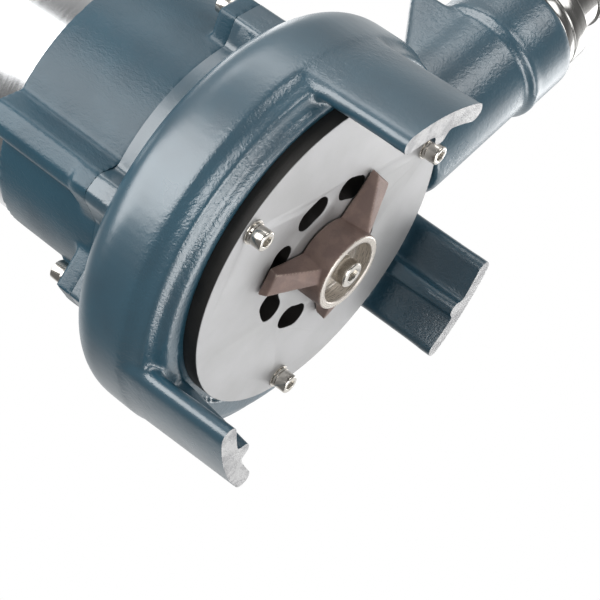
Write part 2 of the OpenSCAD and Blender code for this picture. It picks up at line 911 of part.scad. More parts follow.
module seal_collar() {
    color("#9a9c9c")
        ring(seal_collar_r, shaft_seal_r + run_gap, seal_collar_z, seal_collar_z + seal_collar_h);
}

module lip_seal() {
    color("#2a2724")
        ring(lip_seal_r - thread_gap, shaft_seal_r + run_gap, lip_seal_z, lip_seal_z + lip_seal_t);
}

// Groove cut for an O-ring that lies in a spigot
module groove(r, depth, z, half) {
    ring(r + cut, r - depth, z - half, z + half);
}

module o_ring(r, section_r, z) {
    translate([0, 0, z])
        rotate_extrude()
            translate([r - section_r - groove_gap, 0]) circle(r = section_r, $fn = 48);
}

casing_o_z = joint_z - oil_spigot_h / 2;
low_shell_o_z = chamber_top_z + spigot_len / 2;
up_shell_o_z = shell_top_z - spigot_len / 2;

module oil_chamber() {
    color("#3a5462") difference() {
        union() {
            disc(chamber_r, joint_z, chamber_top_z);
            disc(spigot_r, seal_plate_top_z, joint_z);
            disc(cover_spigot_r, chamber_top_z, chamber_top_z + spigot_len);
            around(leg_count, 0, lug_turn)
                translate([0, 0, joint_z])
                    linear_extrude(lug_h) lug_plan(chamber_r - rim_round_r);
            translate([0, 0, joint_z])
                linear_extrude(chamber_h)
                    rotate(boss_turn) boss_plan(boss_corner_turns, boss_corner_shares);
            translate([0, 0, joint_z])
                linear_extrude(boss_foot_h)
                    rotate(boss_turn) boss_plan(boss_foot_turns, boss_foot_shares);
            rotate([0, 0, pad_turn])
                translate([chamber_r + pad_reach - pad_depth, -pad_w / 2, joint_z + lug_h])
                    cube([pad_depth, pad_w, pad_h]);
        }
        disc(oil_r, seal_plate_top_z - cut, lip_seal_z - seal_lip_t);
        disc(lip_seal_r, lip_seal_z - 2 * seal_lip_t, lip_seal_z + lip_seal_t);
        disc(shaft_seal_r + nose_gap, lip_seal_z, low_bearing_z + cut);
        disc(low_out + bearing_fit, low_bearing_z, chamber_top_z + spigot_len + cut);
        ring(cover_spigot_in_r, boss_ring_r, chamber_top_z, chamber_top_z + spigot_len + cut);
        ring(boss_ring_r + cut, low_out - cut, chamber_top_z + boss_ring_h, chamber_top_z + spigot_len + cut);
        groove(spigot_r, 2 * big_o_r + groove_gap, casing_o_z, big_o_r + groove_gap);
        groove(cover_spigot_r, 2 * small_o_r + groove_gap, low_shell_o_z, small_o_r + groove_gap);
        at_lug_screws() disc(m6_r + hole_gap, joint_z - cut, joint_z + lug_h + cut);
        at_stays() disc(m6_r + thread_gap, chamber_top_z - stay_tap, chamber_top_z + spigot_len + cut);
        rotate([0, 0, oil_plug_turn])
            translate([0, 0, joint_z + oil_plug_rise])
                rotate([0, 90, 0]) {
                    disc(oil_plug_r + thread_gap, oil_r - cut, chamber_r + cut);
                    disc(oil_face_r, chamber_r - oil_face_depth, chamber_r + cut);
                }
    }
}

module on_plug() {
    rotate([0, 0, oil_plug_turn])
        translate([0, 0, joint_z + oil_plug_rise])
            rotate([0, 90, 0])
                translate([0, 0, chamber_r - oil_face_depth])
                    children();
}

module oil_plug() {
    color("#b9b9b4") on_plug()
        mirror([0, 0, 1])
            translate([0, 0, -oil_washer_t])
                socket_screw(oil_plug_r, oil_plug_len + oil_washer_t, oil_plug_head_r, oil_plug_head_h,
                    oil_plug_hex_r, m8_hex_depth);
}

module oil_plug_washer() {
    color("#b87333") on_plug() ring(oil_plug_head_r, oil_plug_r + thread_gap, 0, oil_washer_t);
}

module casing_o_ring() {
    color("#1b1b1b") o_ring(spigot_r, big_o_r, casing_o_z);
}

module chamber_screws() {
    color("#c9c9c6") at_lug_screws()
        translate([0, 0, joint_z + lug_h + m6_spring_t])
            mirror([0, 0, 1])
                socket_screw(m6_r, lug_h + m6_spring_t + lug_tap_depth - nose_gap, m6_head_r, m6_head_h,
                    m6_hex_r, m6_hex_depth);
}

module chamber_spring_washers() {
    color("#b4b4b0") at_lug_screws()
        translate([0, 0, joint_z + lug_h])
            spring_washer(m6_spring_r, m6_r + hole_gap / 2, m6_spring_t);
}

// Ball bearing parts
module bearing_groove(bore, out, w, gap) {
    ball = (out - bore) * ball_share;
    rotate_extrude() translate([(bore + out) / 2, w / 2]) circle(r = ball + gap);
}

module bearing_outer(bore, out, w) {
    ball = (out - bore) * ball_share;
    difference() {
        ring(out, (bore + out) / 2 + ball * shoulder_share, 0, w);
        bearing_groove(bore, out, w, run_gap);
    }
}

module bearing_inner(bore, out, w) {
    ball = (out - bore) * ball_share;
    difference() {
        ring((bore + out) / 2 - ball * shoulder_share, bore, 0, w);
        bearing_groove(bore, out, w, run_gap);
    }
}

module bearing_balls(bore, out, w, count) {
    around(count, (bore + out) / 2, 0)
        translate([0, 0, w / 2]) sphere(r = (out - bore) * ball_share);
}

module bearing_cage(bore, out, w, count) {
    ball = (out - bore) * ball_share;
    half = ball * (1 + cage_rim_share);
    difference() {
        ring((bore + out) / 2 + ball * cage_share, (bore + out) / 2 - ball * cage_share,
            w / 2 - half, w / 2 + half);
        around(count, 0, 0)
            translate([0, 0, w / 2])
                rotate([0, 90, 0]) disc(ball + run_gap, bore, out);
    }
}

module at_low_bearing() {
    translate([0, 0, low_bearing_z]) children();
}

module at_up_bearing() {
    translate([0, 0, up_bearing_z]) children();
}

module lower_bearing_outer_ring() {
    color("#c4c6c6") at_low_bearing() bearing_outer(low_bore, low_out, low_w);
}

module lower_bearing_inner_ring() {
    color("#c4c6c6") at_low_bearing() bearing_inner(low_bore, low_out, low_w);
}

module lower_bearing_balls() {
    color("#dadada") at_low_bearing() bearing_balls(low_bore, low_out, low_w, low_ball_count);
}

module lower_bearing_cage() {
    color("#b08d4a") at_low_bearing() bearing_cage(low_bore, low_out, low_w, low_ball_count);
}

module upper_bearing_outer_ring() {
    color("#c4c6c6") at_up_bearing() bearing_outer(up_bore, up_out, up_w);
}

module upper_bearing_inner_ring() {
    color("#c4c6c6") at_up_bearing() bearing_inner(up_bore, up_out, up_w);
}

module upper_bearing_balls() {
    color("#dadada") at_up_bearing() bearing_balls(up_bore, up_out, up_w, up_ball_count);
}

module upper_bearing_cage() {
    color("#b08d4a") at_up_bearing() bearing_cage(up_bore, up_out, up_w, up_ball_count);
}

module bearing_wave_washer() {
    color("#8e8f8f")
        ring(up_out - 2 * spigot_gap, wave_in_r, up_bearing_z + up_w + spigot_gap,
            up_bearing_z + up_w + spigot_gap + wave_t);
}

module rotor_core() {
    color("#7d7f80") ring(rotor_r, shaft_core_r + bearing_fit, core_z, core_top_z);
}

module rotor_end_rings() {
    color("#c3c6c8") {
        ring(end_ring_r, end_ring_in_r, core_z - end_ring_t, core_z);
        ring(end_ring_r, end_ring_in_r, core_top_z, core_top_z + end_ring_t);
    }
}

module stator_core() {
    color("#6f7273") difference() {
        ring(stator_r, stator_bore_r, core_z, core_top_z);
        around(stator_slots, 0, 0) {
            translate([slot_in_r, -slot_t / 2, core_z - cut])
                cube([slot_out_r - slot_in_r, slot_t, core_len + 2 * cut]);
            translate([stator_bore_r - cut, -slot_mouth / 2, core_z - cut])
                cube([slot_in_r - stator_bore_r + 2 * cut, slot_mouth, core_len + 2 * cut]);
        }
        at_stays() disc(m6_r + 2 * hole_gap, core_z - cut, core_top_z + cut);
    }
}

module winding_end(z0) {
    rotate_extrude()
        translate([(winding_r + winding_in_r) / 2, z0 + winding_h / 2])
            capsule_2d(winding_r - winding_in_r, winding_h, winding_round);
}

module stator_windings() {
    color("#b06a2c") {
        winding_end(core_z - winding_h - loose_gap);
        winding_end(core_top_z + loose_gap);
        around(stator_slots, 0, 0)
            translate([slot_in_r + loose_gap, loose_gap - slot_t / 2, core_z - winding_h / 2])
                cube([slot_out_r - slot_in_r - 2 * loose_gap, slot_t - 2 * loose_gap, core_len + winding_h]);
    }
}

module motor_shell() {
    color("#d8dadb") ring(shell_r, shell_in_r, chamber_top_z, shell_top_z);
}

module shell_o_ring_lower() {
    color("#1b1b1b") o_ring(cover_spigot_r, small_o_r, low_shell_o_z);
}

module shell_o_ring_upper() {
    color("#1b1b1b") o_ring(cover_spigot_r, small_o_r, up_shell_o_z);
}

module bearing_bracket() {
    color("#8b9194") difference() {
        union() {
            disc(bracket_r, bracket_z, bracket_top_z);
            disc(bracket_hub_r, bracket_hub_z, bracket_top_z);
        }
        disc(up_out + bearing_fit, bracket_hub_z - cut, pocket_top_z);
        around(2, wire_hole_path_r, 90) disc(wire_hole_r, bracket_z - cut, bracket_top_z + cut);
        at_bracket_screws() disc(m5_r + hole_gap, bracket_z - cut, bracket_top_z + cut);
    }
}

module bracket_screws() {
    color("#c9c9c6") at_bracket_screws()
        translate([0, 0, bracket_z])
            socket_screw(m5_r, bracket_screw_len, m5_head_r, m5_head_h, m5_hex_r, m5_hex_depth);
}

module handle_screw_places() {
    for (s = [-1, 1])
        translate([0, s * (handle_span / 2 + handle_t + foot_len / 2), bell_top_z])
            children();
}

module top_cover() {
    color("#37505e") difference() {
        union() {
            rotate_extrude()
                polygon(concat(
                    [[0, shell_top_z - cover_spigot_len], [cover_spigot_r, shell_top_z - cover_spigot_len]],
                    [[cover_spigot_r, shell_top_z]],
                    arc(chamber_r - flange_round, shell_top_z + flange_round, flange_round, -90, 0, arc_steps),
                    arc(chamber_r - flange_round, flange_top_z - flange_round, flange_round, 0, 90, arc_steps),
                    [[bell_r, flange_top_z]],
                    arc(bell_r - bell_round, bell_top_z - bell_round, bell_round, 0, 90, arc_steps),
                    [[0, bell_top_z]]
                ));
        }
        disc(cover_spigot_in_r, shell_top_z - cover_spigot_len - cut, bracket_top_z);
        disc(bell_in_r, bracket_top_z - cut, bell_top_z - bell_roof);
        groove(cover_spigot_r, 2 * small_o_r + groove_gap, up_shell_o_z, small_o_r + groove_gap);
        at_stays() disc(m6_r + hole_gap, shell_top_z - cover_spigot_len - cut, flange_top_z + cut);
        at_bracket_screws()
            disc(m5_r + thread_gap, bracket_top_z - cut, bracket_z + bracket_screw_len + nose_gap);
        translate([gland_x, 0, 0])
            disc(gland_stub_r + thread_gap, bell_top_z - bell_roof - cut, bell_top_z + cut);
        handle_screw_places() disc(m6_r + thread_gap, nose_gap - bell_roof, cut);
    }
}

stay_len = flange_top_z - chamber_top_z + stay_tap - nose_gap;

module stay_bolts() {
    color("#c9c9c6") at_stays()
        translate([0, 0, flange_top_z + m6_flat_t])
            mirror([0, 0, 1])
                socket_screw(m6_r, stay_len + m6_flat_t, m6_head_r, m6_head_h, m6_hex_r, m6_hex_depth);
}

module stay_bolt_washers() {
    color("#bdbdb9") at_stays()
        ring(m6_spring_r, m6_r + hole_gap / 2, flange_top_z, flange_top_z + m6_flat_t);
}

module capacitor() {
    color("#d9d9d4")
        translate([cap_x, 0, bracket_top_z])
            rotate_extrude()
                polygon([[0, 0], [cap_r, 0], [cap_r, cap_h - cap_round], [cap_r - cap_round, cap_h], [0, cap_h]]);
}

module capacitor_clamp() {
    color("#a8aaab")
        translate([cap_x, 0, bracket_top_z + clamp_rise])
            ring(cap_r + clamp_t, cap_r + thread_gap, 0, clamp_h);
}

module terminal_block() {
    color("#1f1f1f") difference() {
        translate([block_x, 0, bracket_top_z + block_h / 2])
            cube([block_w, block_len, block_h], center = true);
        terminal_places() disc(block_screw_r + thread_gap, -block_h / 2, cut);
    }
}

module terminal_places() {
    pitch = block_len / block_screw_count;
    for (i = [0:block_screw_count - 1])
        translate([block_x, pitch * (i - (block_screw_count - 1) / 2), bracket_top_z + block_h])
            children();
}

module terminal_screws() {
    color("#c8b070") terminal_places() difference() {
        disc(block_screw_r, nose_gap - block_h / 2, nose_gap);
        translate([-block_screw_r, -split_gap / 2, nose_gap / 2])
            cube([2 * block_screw_r, split_gap, nose_gap]);
    }
}

module at_gland() {
    translate([gland_x, 0, bell_top_z]) children();
}

module gland_body() {
    color("#a9abac") at_gland() difference() {
        union() {
            disc(gland_stub_r, -bell_roof, cut);
            cylinder(r = gland_flange_r, h = gland_flange_h, $fn = 6);
            disc(gland_barrel_r, gland_flange_h, gland_flange_h + gland_barrel_h);
        }
        disc(gland_bore_r, -bell_roof - cut, gland_flange_h + gland_barrel_h + cut);
    }
}

module gland_grommet() {
    color("#1d1d1d") at_gland() ring(grommet_r, cable_r, nose_gap, nose_gap + grommet_h);
}

module gland_nut() {
    nut_z = gland_flange_h + gland_nut_lift;
    color("#b4b6b6") at_gland() difference() {
        translate([0, 0, nut_z]) cylinder(r = gland_flange_r, h = gland_nut_h, $fn = 6);
        disc(gland_barrel_r + thread_gap, nut_z - cut, nut_z + gland_nut_h - gland_lip);
        disc(grommet_r + thread_gap, nut_z, nut_z + gland_nut_h + cut);
    }
}

// Handle outline in the plane across the cover
module handle_2d() {
    in_x = handle_span / 2;
    out_x = in_x + handle_t;
    foot_x = out_x + foot_len;
    turn_x = out_x - handle_round;
    turn_y = handle_h - handle_round;
    polygon(concat(
        [[foot_x, 0], [foot_x, handle_t], [out_x, handle_t]],
        arc(turn_x, turn_y, handle_round, 0, 90, arc_steps),
        arc(-turn_x, turn_y, handle_round, 90, 180, arc_steps),
        [[-out_x, handle_t], [-foot_x, handle_t], [-foot_x, 0], [-in_x, 0]],
        arc(-turn_x, turn_y, handle_round - handle_t, 180, 90, arc_steps),
        arc(turn_x, turn_y, handle_round - handle_t, 90, 0, arc_steps),
        [[in_x, 0]]
    ));
}

module handle() {
    color("#b9bbbb") difference() {
        translate([-handle_w / 2, 0, bell_top_z])
            rotate([90, 0, 90])
                linear_extrude(handle_w) handle_2d();
        handle_screw_places() disc(m6_r + hole_gap, -cut, handle_t + cut);
    }
}

module handle_grip() {
    grip_w = handle_w + 2 * grip_wall;
    grip_t = handle_t + 2 * grip_wall;
    color("#232323")
        translate([0, grip_len / 2, bell_top_z + handle_h - handle_t / 2])
            rotate([90, 0, 0])
                linear_extrude(grip_len)
                    difference() {
                        capsule_2d(grip_w, grip_t, grip_round);
                        square([handle_w + 2 * thread_gap, handle_t + 2 * thread_gap], center = true);
                    }
}

module handle_screws() {
    color("#c9c9c6") handle_screw_places()
        translate([0, 0, handle_t])
            mirror([0, 0, 1])
                socket_screw(m6_r, handle_t + bell_roof - 2 * nose_gap, m6_head_r, m6_head_h,
                    m6_hex_r, m6_hex_depth);
}

module outlet_gasket() {
    color("#151515") on_outlet() ring(gasket_r, out_bore_r, stub_end_x, tail_face_x);
}

module outlet_hose_tail() {
    tail_in_r = tail_r - tail_wall;
    first_barb_x = tail_step_x + tail_len - barb_count * barb_len;
    color("#c6c8c8") on_outlet()
        rotate_extrude()
            polygon(concat(
                [[tail_in_r, tail_face_x], [gasket_r, tail_face_x], [gasket_r, tail_step_x]],
                [[tail_r, tail_step_x], [tail_r, first_barb_x]],
                [for (i = [0:barb_count - 1]) each [
                    [tail_r + barb_h, first_barb_x + i * barb_len],
                    [tail_r, first_barb_x + (i + 1) * barb_len]
                ]],
                [[tail_in_r, tail_step_x + tail_len]]
            ));
}

module outlet_union_nut() {
    lip_x = tail_step_x + loose_gap;
    groove_x = nut_start_x + nut_len / 4;
    color("#cfd1d1") on_outlet()
        rotate_extrude()
            polygon([
                [nut_bore_r, nut_start_x], [nut_r - head_round, nut_start_x], [nut_r, nut_start_x + head_round],
                [nut_r, groove_x], [nut_r - nut_groove, groove_x + nut_groove],
                [nut_r - nut_groove, groove_x + 2 * nut_groove], [nut_r, groove_x + 3 * nut_groove],
                [nut_r, nut_end_x - nut_chamfer], [nut_r - nut_chamfer, nut_end_x],
                [nut_lip_r, nut_end_x], [nut_lip_r, lip_x], [nut_bore_r, lip_x]
            ]);
}

pump_casing();
suction_plate();
plate_screws();
plate_spring_washers();
plate_flat_washers();
cutter();
cutter_bolt();
cutter_spring_washer();
cutter_flat_washer();
impeller();
drive_key();
shaft();
seal_plate();
seal_seat();
seal_head();
seal_spring();
seal_collar();
lip_seal();
oil_chamber();
casing_o_ring();
chamber_screws();
chamber_spring_washers();
oil_plug();
oil_plug_washer();
lower_bearing_outer_ring();
lower_bearing_inner_ring();
lower_bearing_balls();
lower_bearing_cage();
rotor_core();
rotor_end_rings();
stator_core();
stator_windings();
motor_shell();
shell_o_ring_lower();
shell_o_ring_upper();
bearing_bracket();
bracket_screws();
bearing_wave_washer();
upper_bearing_outer_ring();
upper_bearing_inner_ring();
upper_bearing_balls();
upper_bearing_cage();
top_cover();
stay_bolts();
stay_bolt_washers();
capacitor();
capacitor_clamp();
terminal_block();
terminal_screws();
gland_body();
gland_grommet();
gland_nut();
handle();
handle_grip();
handle_screws();
outlet_gasket();
outlet_hose_tail();
outlet_union_nut();
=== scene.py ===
# %% [markdown]
# # Sewage grinder pump
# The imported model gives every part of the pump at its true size, in metres. It stands on the ends
# of its three legs, with the shaft upright. This lesson dresses those parts: the iron castings get
# soft edges and enamel, the turned parts get fine tool marks, and the cutter gets its raw skin.

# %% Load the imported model
import json
import math
import bpy
import numpy as np
from mathutils import Matrix, Vector


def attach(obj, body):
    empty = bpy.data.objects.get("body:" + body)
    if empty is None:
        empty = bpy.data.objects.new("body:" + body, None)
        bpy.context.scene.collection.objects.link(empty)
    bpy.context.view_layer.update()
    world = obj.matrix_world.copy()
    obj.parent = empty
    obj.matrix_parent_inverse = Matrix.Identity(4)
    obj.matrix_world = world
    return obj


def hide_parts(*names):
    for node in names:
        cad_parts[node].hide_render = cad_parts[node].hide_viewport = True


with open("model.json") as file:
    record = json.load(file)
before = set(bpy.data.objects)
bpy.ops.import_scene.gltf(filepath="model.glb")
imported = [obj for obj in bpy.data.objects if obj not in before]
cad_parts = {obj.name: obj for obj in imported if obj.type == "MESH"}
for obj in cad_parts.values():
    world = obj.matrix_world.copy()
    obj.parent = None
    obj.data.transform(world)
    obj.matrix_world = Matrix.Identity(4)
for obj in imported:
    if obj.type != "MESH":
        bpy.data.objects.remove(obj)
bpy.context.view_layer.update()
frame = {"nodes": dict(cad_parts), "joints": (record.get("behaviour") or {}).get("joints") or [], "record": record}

MM = 0.001
X, Y, Z = range(3)
nodes = frame["nodes"]
record = frame["record"]


def in_mm(values):
    return [round(value / MM, 1) for value in values]


# %% [markdown]
# ## The camera
# The picture looks up at the suction side of the pump from below and from the left of the outlet.
# A long lens keeps the round plate almost free of perspective. The view could be aimed with angles,
# but three unit vectors are plainer: they say where the picture's right, its top and the way back to
# the camera point in the pump's frame, and the lamps are placed by them too.

# %% Camera
PICTURE_RIGHT = Vector((0.6681, -0.0019, -0.7440))
PICTURE_TOP = Vector((0.6116, -0.5680, 0.5507))
PICTURE_BACK = Vector((-0.4237, -0.8231, -0.3783))
CAMERA_PLACE = Vector((-384.4, -696.7, -292.6)) * MM
LENS = 113.55
CLIP_NEAR = 0.05
CLIP_FAR = 20

camera_data = bpy.data.cameras.new("camera")
camera_data.lens = LENS
camera_data.clip_start = CLIP_NEAR
camera_data.clip_end = CLIP_FAR
camera = bpy.data.objects.new("camera", camera_data)
bpy.context.scene.collection.objects.link(camera)
turned = Matrix((PICTURE_RIGHT, PICTURE_TOP, PICTURE_BACK)).transposed()
camera.matrix_world = Matrix.Translation(CAMERA_PLACE) @ turned.to_4x4()
bpy.context.scene.camera = camera
bpy.context.scene.view_settings.view_transform = "Standard"
print("camera to shaft in mm:", round(CAMERA_PLACE.length / MM))

# %% [markdown]
# ## Small helpers for node trees
# Worlds and materials are trees of nodes. Most of their nodes do a little arithmetic, so two helpers
# make a sum and a smooth ramp in one line each, and give back the socket that holds the answer.

# %% Sums and ramps
def feed(tree, socket, value):
    """Types a number on the socket, or links another socket to it."""
    if isinstance(value, (int, float)):
        socket.default_value = value
    else:
        tree.links.new(value, socket)


def math_node(tree, operation, *values):
    node = tree.nodes.new("ShaderNodeMath")
    node.operation = operation
    for socket, value in zip(node.inputs, values):
        feed(tree, socket, value)
    return node.outputs[0]


def ramp_between(tree, value, low, high, out_low=0.0, out_high=1.0):
    """Maps a value from low..high to out_low..out_high, held at both ends."""
    node = tree.nodes.new("ShaderNodeMapRange")
    node.interpolation_type = "SMOOTHSTEP"
    node.inputs["From Min"].default_value = low
    node.inputs["From Max"].default_value = high
    node.inputs["To Min"].default_value = out_low
    node.inputs["To Max"].default_value = out_high
    tree.links.new(value, node.inputs["Value"])
    return node.outputs["Result"]


print("helpers: feed, math_node, ramp_between")

# %% [markdown]
# ## The room
# Glossy enamel and bright steel look like what they mirror. A plain white room would turn them flat,
# so this room is dim in front of the pump and bright behind it and towards the picture's top. Rays
# that reach the room straight from the camera, or through glass, find it white.

# %% World
AMBIENT = 0.28
DIM_GLOSS = 0.2


def in_picture(right, top, back):
    """A direction given in the picture's own right, top and back."""
    return (PICTURE_RIGHT * right + PICTURE_TOP * top + PICTURE_BACK * back).normalized()


# Each bright side has the way to it, and how squarely a ray faces it where the ramp starts and ends.
BRIGHT_SIDES = (
    (in_picture(0.3, -0.1, -0.95), 0.2, 0.75),
    (in_picture(-0.15, 1, 0), 0.6, 1.15),
)


def bright_side(tree, place, side, start, end):
    facing = tree.nodes.new("ShaderNodeVectorMath")
    facing.operation = "DOT_PRODUCT"
    facing.inputs[1].default_value = side
    tree.links.new(place, facing.inputs[0])
    return ramp_between(tree, facing.outputs["Value"], start, end, DIM_GLOSS, 1.0)


def either(tree, factor, low, high):
    """One of two brightnesses, chosen by a factor."""
    node = tree.nodes.new("ShaderNodeMix")
    tree.links.new(factor, node.inputs["Factor"])
    feed(tree, node.inputs["A"], low)
    feed(tree, node.inputs["B"], high)
    return node.outputs["Result"]


def make_world():
    world = bpy.data.worlds.new("studio")
    bpy.context.scene.world = world
    world.use_nodes = True
    tree = world.node_tree
    tree.nodes.clear()
    path = tree.nodes.new("ShaderNodeLightPath").outputs
    place = tree.nodes.new("ShaderNodeTexCoord").outputs["Generated"]
    room = math_node(tree, "MAXIMUM", *(bright_side(tree, place, *side) for side in BRIGHT_SIDES))
    mirrored = either(tree, path["Is Glossy Ray"], AMBIENT, room)
    direct = math_node(tree, "MAXIMUM", path["Is Camera Ray"], path["Is Transmission Ray"])
    background = tree.nodes.new("ShaderNodeBackground")
    tree.links.new(either(tree, direct, mirrored, 1.0), background.inputs["Color"])
    out = tree.nodes.new("ShaderNodeOutputWorld")
    tree.links.new(background.outputs["Background"], out.inputs["Surface"])
    return world


print("world:", make_world().name)

# %% [markdown]
# ## Lamps
# Broad rectangular lamps suit glossy enamel, because they show in it as calm pale patches. Each one
# is squared up to the picture and given by the brightness of its face, so its size can change
# without changing how bright its patch looks. The largest hangs to the left of the picture and makes
# the pale band on the casing's shoulder.

# %% Lamps
LAMP_AIM = Vector((0, 0, 90 * MM))
# Each lamp has the way to it, its distance, width and height in metres, and its radiance.
LAMPS = {
    "lamp_left": (in_picture(-0.73, 0.38, 0.57), 1.2, 1.7, 0.95, 3.6),
    "lamp_low": (in_picture(0.60, -0.52, 0.61), 1.1, 0.7, 0.55, 4.2),
    "lamp_right": (in_picture(0.76, 0.42, 0.50), 1.2, 0.65, 0.45, 3.4),
    "lamp_under": (in_picture(0.72, -0.68, -0.05), 1.2, 0.7, 0.5, 3.0),
    "lamp_behind": (in_picture(0.72, -0.08, -0.66), 1.2, 0.7, 0.4, 3.0),
    "lamp_over": (in_picture(-0.05, 0.97, 0.2), 1.2, 0.8, 0.35, 2.0),
    "lamp_top": (Vector((0.45, 0.35, 0.82)).normalized(), 1.6, 0.9, 0.9, 2.4),
}


def make_lamp(name, towards, distance, width, height, radiance):
    """A rectangular lamp whose surface has the given brightness, where 1 is white."""
    data = bpy.data.lights.new(name, "AREA")
    data.shape = "RECTANGLE"
    data.size, data.size_y = width, height
    data.energy = radiance * math.pi * width * height
    lamp = bpy.data.objects.new(name, data)
    bpy.context.scene.collection.objects.link(lamp)
    across = PICTURE_TOP.cross(towards).normalized()
    turn = Matrix((across, towards.cross(across), towards)).transposed()
    lamp.matrix_world = Matrix.Translation(LAMP_AIM + towards * distance) @ turn.to_4x4()
    lamp.visible_camera = False
    return lamp


print("lamps:", [make_lamp(name, *values).name for name, values in LAMPS.items()])

# %% [markdown]
# ## Floor
# The pump stands on a plain pale floor. The picture is taken from below that floor, so its lower
# side is clear to the camera. It takes no part in mirrors or in the soft light on the pump. Some
# light of its own, for the camera alone, keeps its far end as pale as the room.

# %% Floor
FLOOR_SIZE = 60
FLOOR_DROP = 1 * MM
FLOOR_GREY = 0.62
FLOOR_GLOW = 0.55


def floor_material():
    material = bpy.data.materials.new("pale_floor")
    material.use_nodes = True
    tree = material.node_tree
    path = tree.nodes.new("ShaderNodeLightPath")
    paint = tree.nodes["Principled BSDF"]
    paint.inputs["Base Color"].default_value = (FLOOR_GREY, FLOOR_GREY, FLOOR_GREY, 1)
    paint.inputs["Roughness"].default_value = 0.8
    paint.inputs["Specular IOR Level"].default_value = 0.1
    paint.inputs["Emission Color"].default_value = (FLOOR_GLOW, FLOOR_GLOW, FLOOR_GLOW, 1)
    tree.links.new(path.outputs["Is Camera Ray"], paint.inputs["Emission Strength"])
    face = tree.nodes.new("ShaderNodeNewGeometry")
    clear = tree.nodes.new("ShaderNodeBsdfTransparent")
    mix = tree.nodes.new("ShaderNodeMixShader")
    tree.links.new(face.outputs["Backfacing"], mix.inputs["Fac"])
    tree.links.new(paint.outputs["BSDF"], mix.inputs[1])
    tree.links.new(clear.outputs["BSDF"], mix.inputs[2])
    tree.links.new(mix.outputs["Shader"], tree.nodes["Material Output"].inputs["Surface"])
    return material


bpy.ops.object.select_all(action="DESELECT")
bpy.ops.mesh.primitive_plane_add(size=FLOOR_SIZE, location=(0, 0, -FLOOR_DROP))
floor = bpy.context.active_object
floor.name = "floor"
floor.data.materials.append(floor_material())
floor.visible_diffuse = False
floor.visible_glossy = False
floor.visible_transmission = False
floor.visible_shadow = False
print("floor at mm:", in_mm(floor.location))

# %% [markdown]
# ## Shared surface effects
# Three effects return on many finishes, so each is a node group that is built once and then placed
# with its own values. A group gives out only heights and shades, and the shader stays in each
# material. All of them are noise in the pump's own metres, so that a grain keeps its real size.

# %% Group helpers
def new_group(name, inputs, outputs):
    """An empty node group with named number inputs and outputs."""
    group = bpy.data.node_groups.new(name, "ShaderNodeTree")
    for label, value in inputs:
        socket = group.interface.new_socket(label, in_out="INPUT", socket_type="NodeSocketFloat")
        socket.default_value = value
    for label in outputs:
        group.interface.new_socket(label, in_out="OUTPUT", socket_type="NodeSocketFloat")
    return group, group.nodes.new("NodeGroupInput"), group.nodes.new("NodeGroupOutput")


def noise(tree, vector, scale, detail, rough, distortion=0.0):
    """A noise texture. Scale is a number or a socket, in cycles a metre."""
    node = tree.nodes.new("ShaderNodeTexNoise")
    node.inputs["Detail"].default_value = detail
    node.inputs["Roughness"].default_value = rough
    node.inputs["Distortion"].default_value = distortion
    feed(tree, node.inputs["Scale"], scale)
    tree.links.new(vector, node.inputs["Vector"])
    return node.outputs["Fac"]


print("helpers: new_group, noise")

# %% [markdown]
# ### Enamel skin
# Thick enamel dries with small wrinkles, and it isn't evenly dark. Real drips could be modelled, but
# wrinkles of a millimetre or two are far too many for that: a coarse noise with a finer one added to
# it gives their height, and a slow noise gives the shade. A stretch draws them out along the shaft.

# %% Enamel skin
FINE_RATIO, FINE_SHARE = 2.7, 0.35
SHADES_PER_METRE = 22.0


def make_enamel_skin():
    group, start, end = new_group(
        "enamel_skin", [("Wrinkles per metre", 420.0), ("Stretch", 1.0)], ["Height", "Shade"]
    )
    place = group.nodes.new("ShaderNodeTexCoord").outputs["Object"]
    squeeze = group.nodes.new("ShaderNodeCombineXYZ")
    for socket, value in zip(squeeze.inputs, (1.0, 1.0, start.outputs["Stretch"])):
        feed(group, socket, value)
    stretched = group.nodes.new("ShaderNodeVectorMath")
    stretched.operation = "MULTIPLY"
    group.links.new(place, stretched.inputs[0])
    group.links.new(squeeze.outputs[0], stretched.inputs[1])
    vector = stretched.outputs[0]
    wrinkles = start.outputs["Wrinkles per metre"]
    coarse = noise(group, vector, wrinkles, detail=2.0, rough=0.55, distortion=0.6)
    fine_scale = math_node(group, "MULTIPLY", wrinkles, FINE_RATIO)
    fine = noise(group, vector, fine_scale, detail=1.0, rough=0.5, distortion=0.3)
    group.links.new(math_node(group, "MULTIPLY_ADD", fine, FINE_SHARE, coarse), end.inputs["Height"])
    shade = noise(group, place, SHADES_PER_METRE, detail=3.0, rough=0.6)
    group.links.new(shade, end.inputs["Shade"])
    return group


enamel_skin = make_enamel_skin()
print("group:", enamel_skin.name)

# %% [markdown]
# ### Tool marks
# A lathe leaves fine rings round the axis that it turned the part on. Waves of a ring texture would
# be too even. Here the place of a point is written as its radius, a little of its angle and its
# height, and noise of that place comes out as rings that differ from each other and slowly fade.

# %% Tool marks
WIDE_RATIO = 0.12
ALONG_PER_RADIAN = 1 * MM


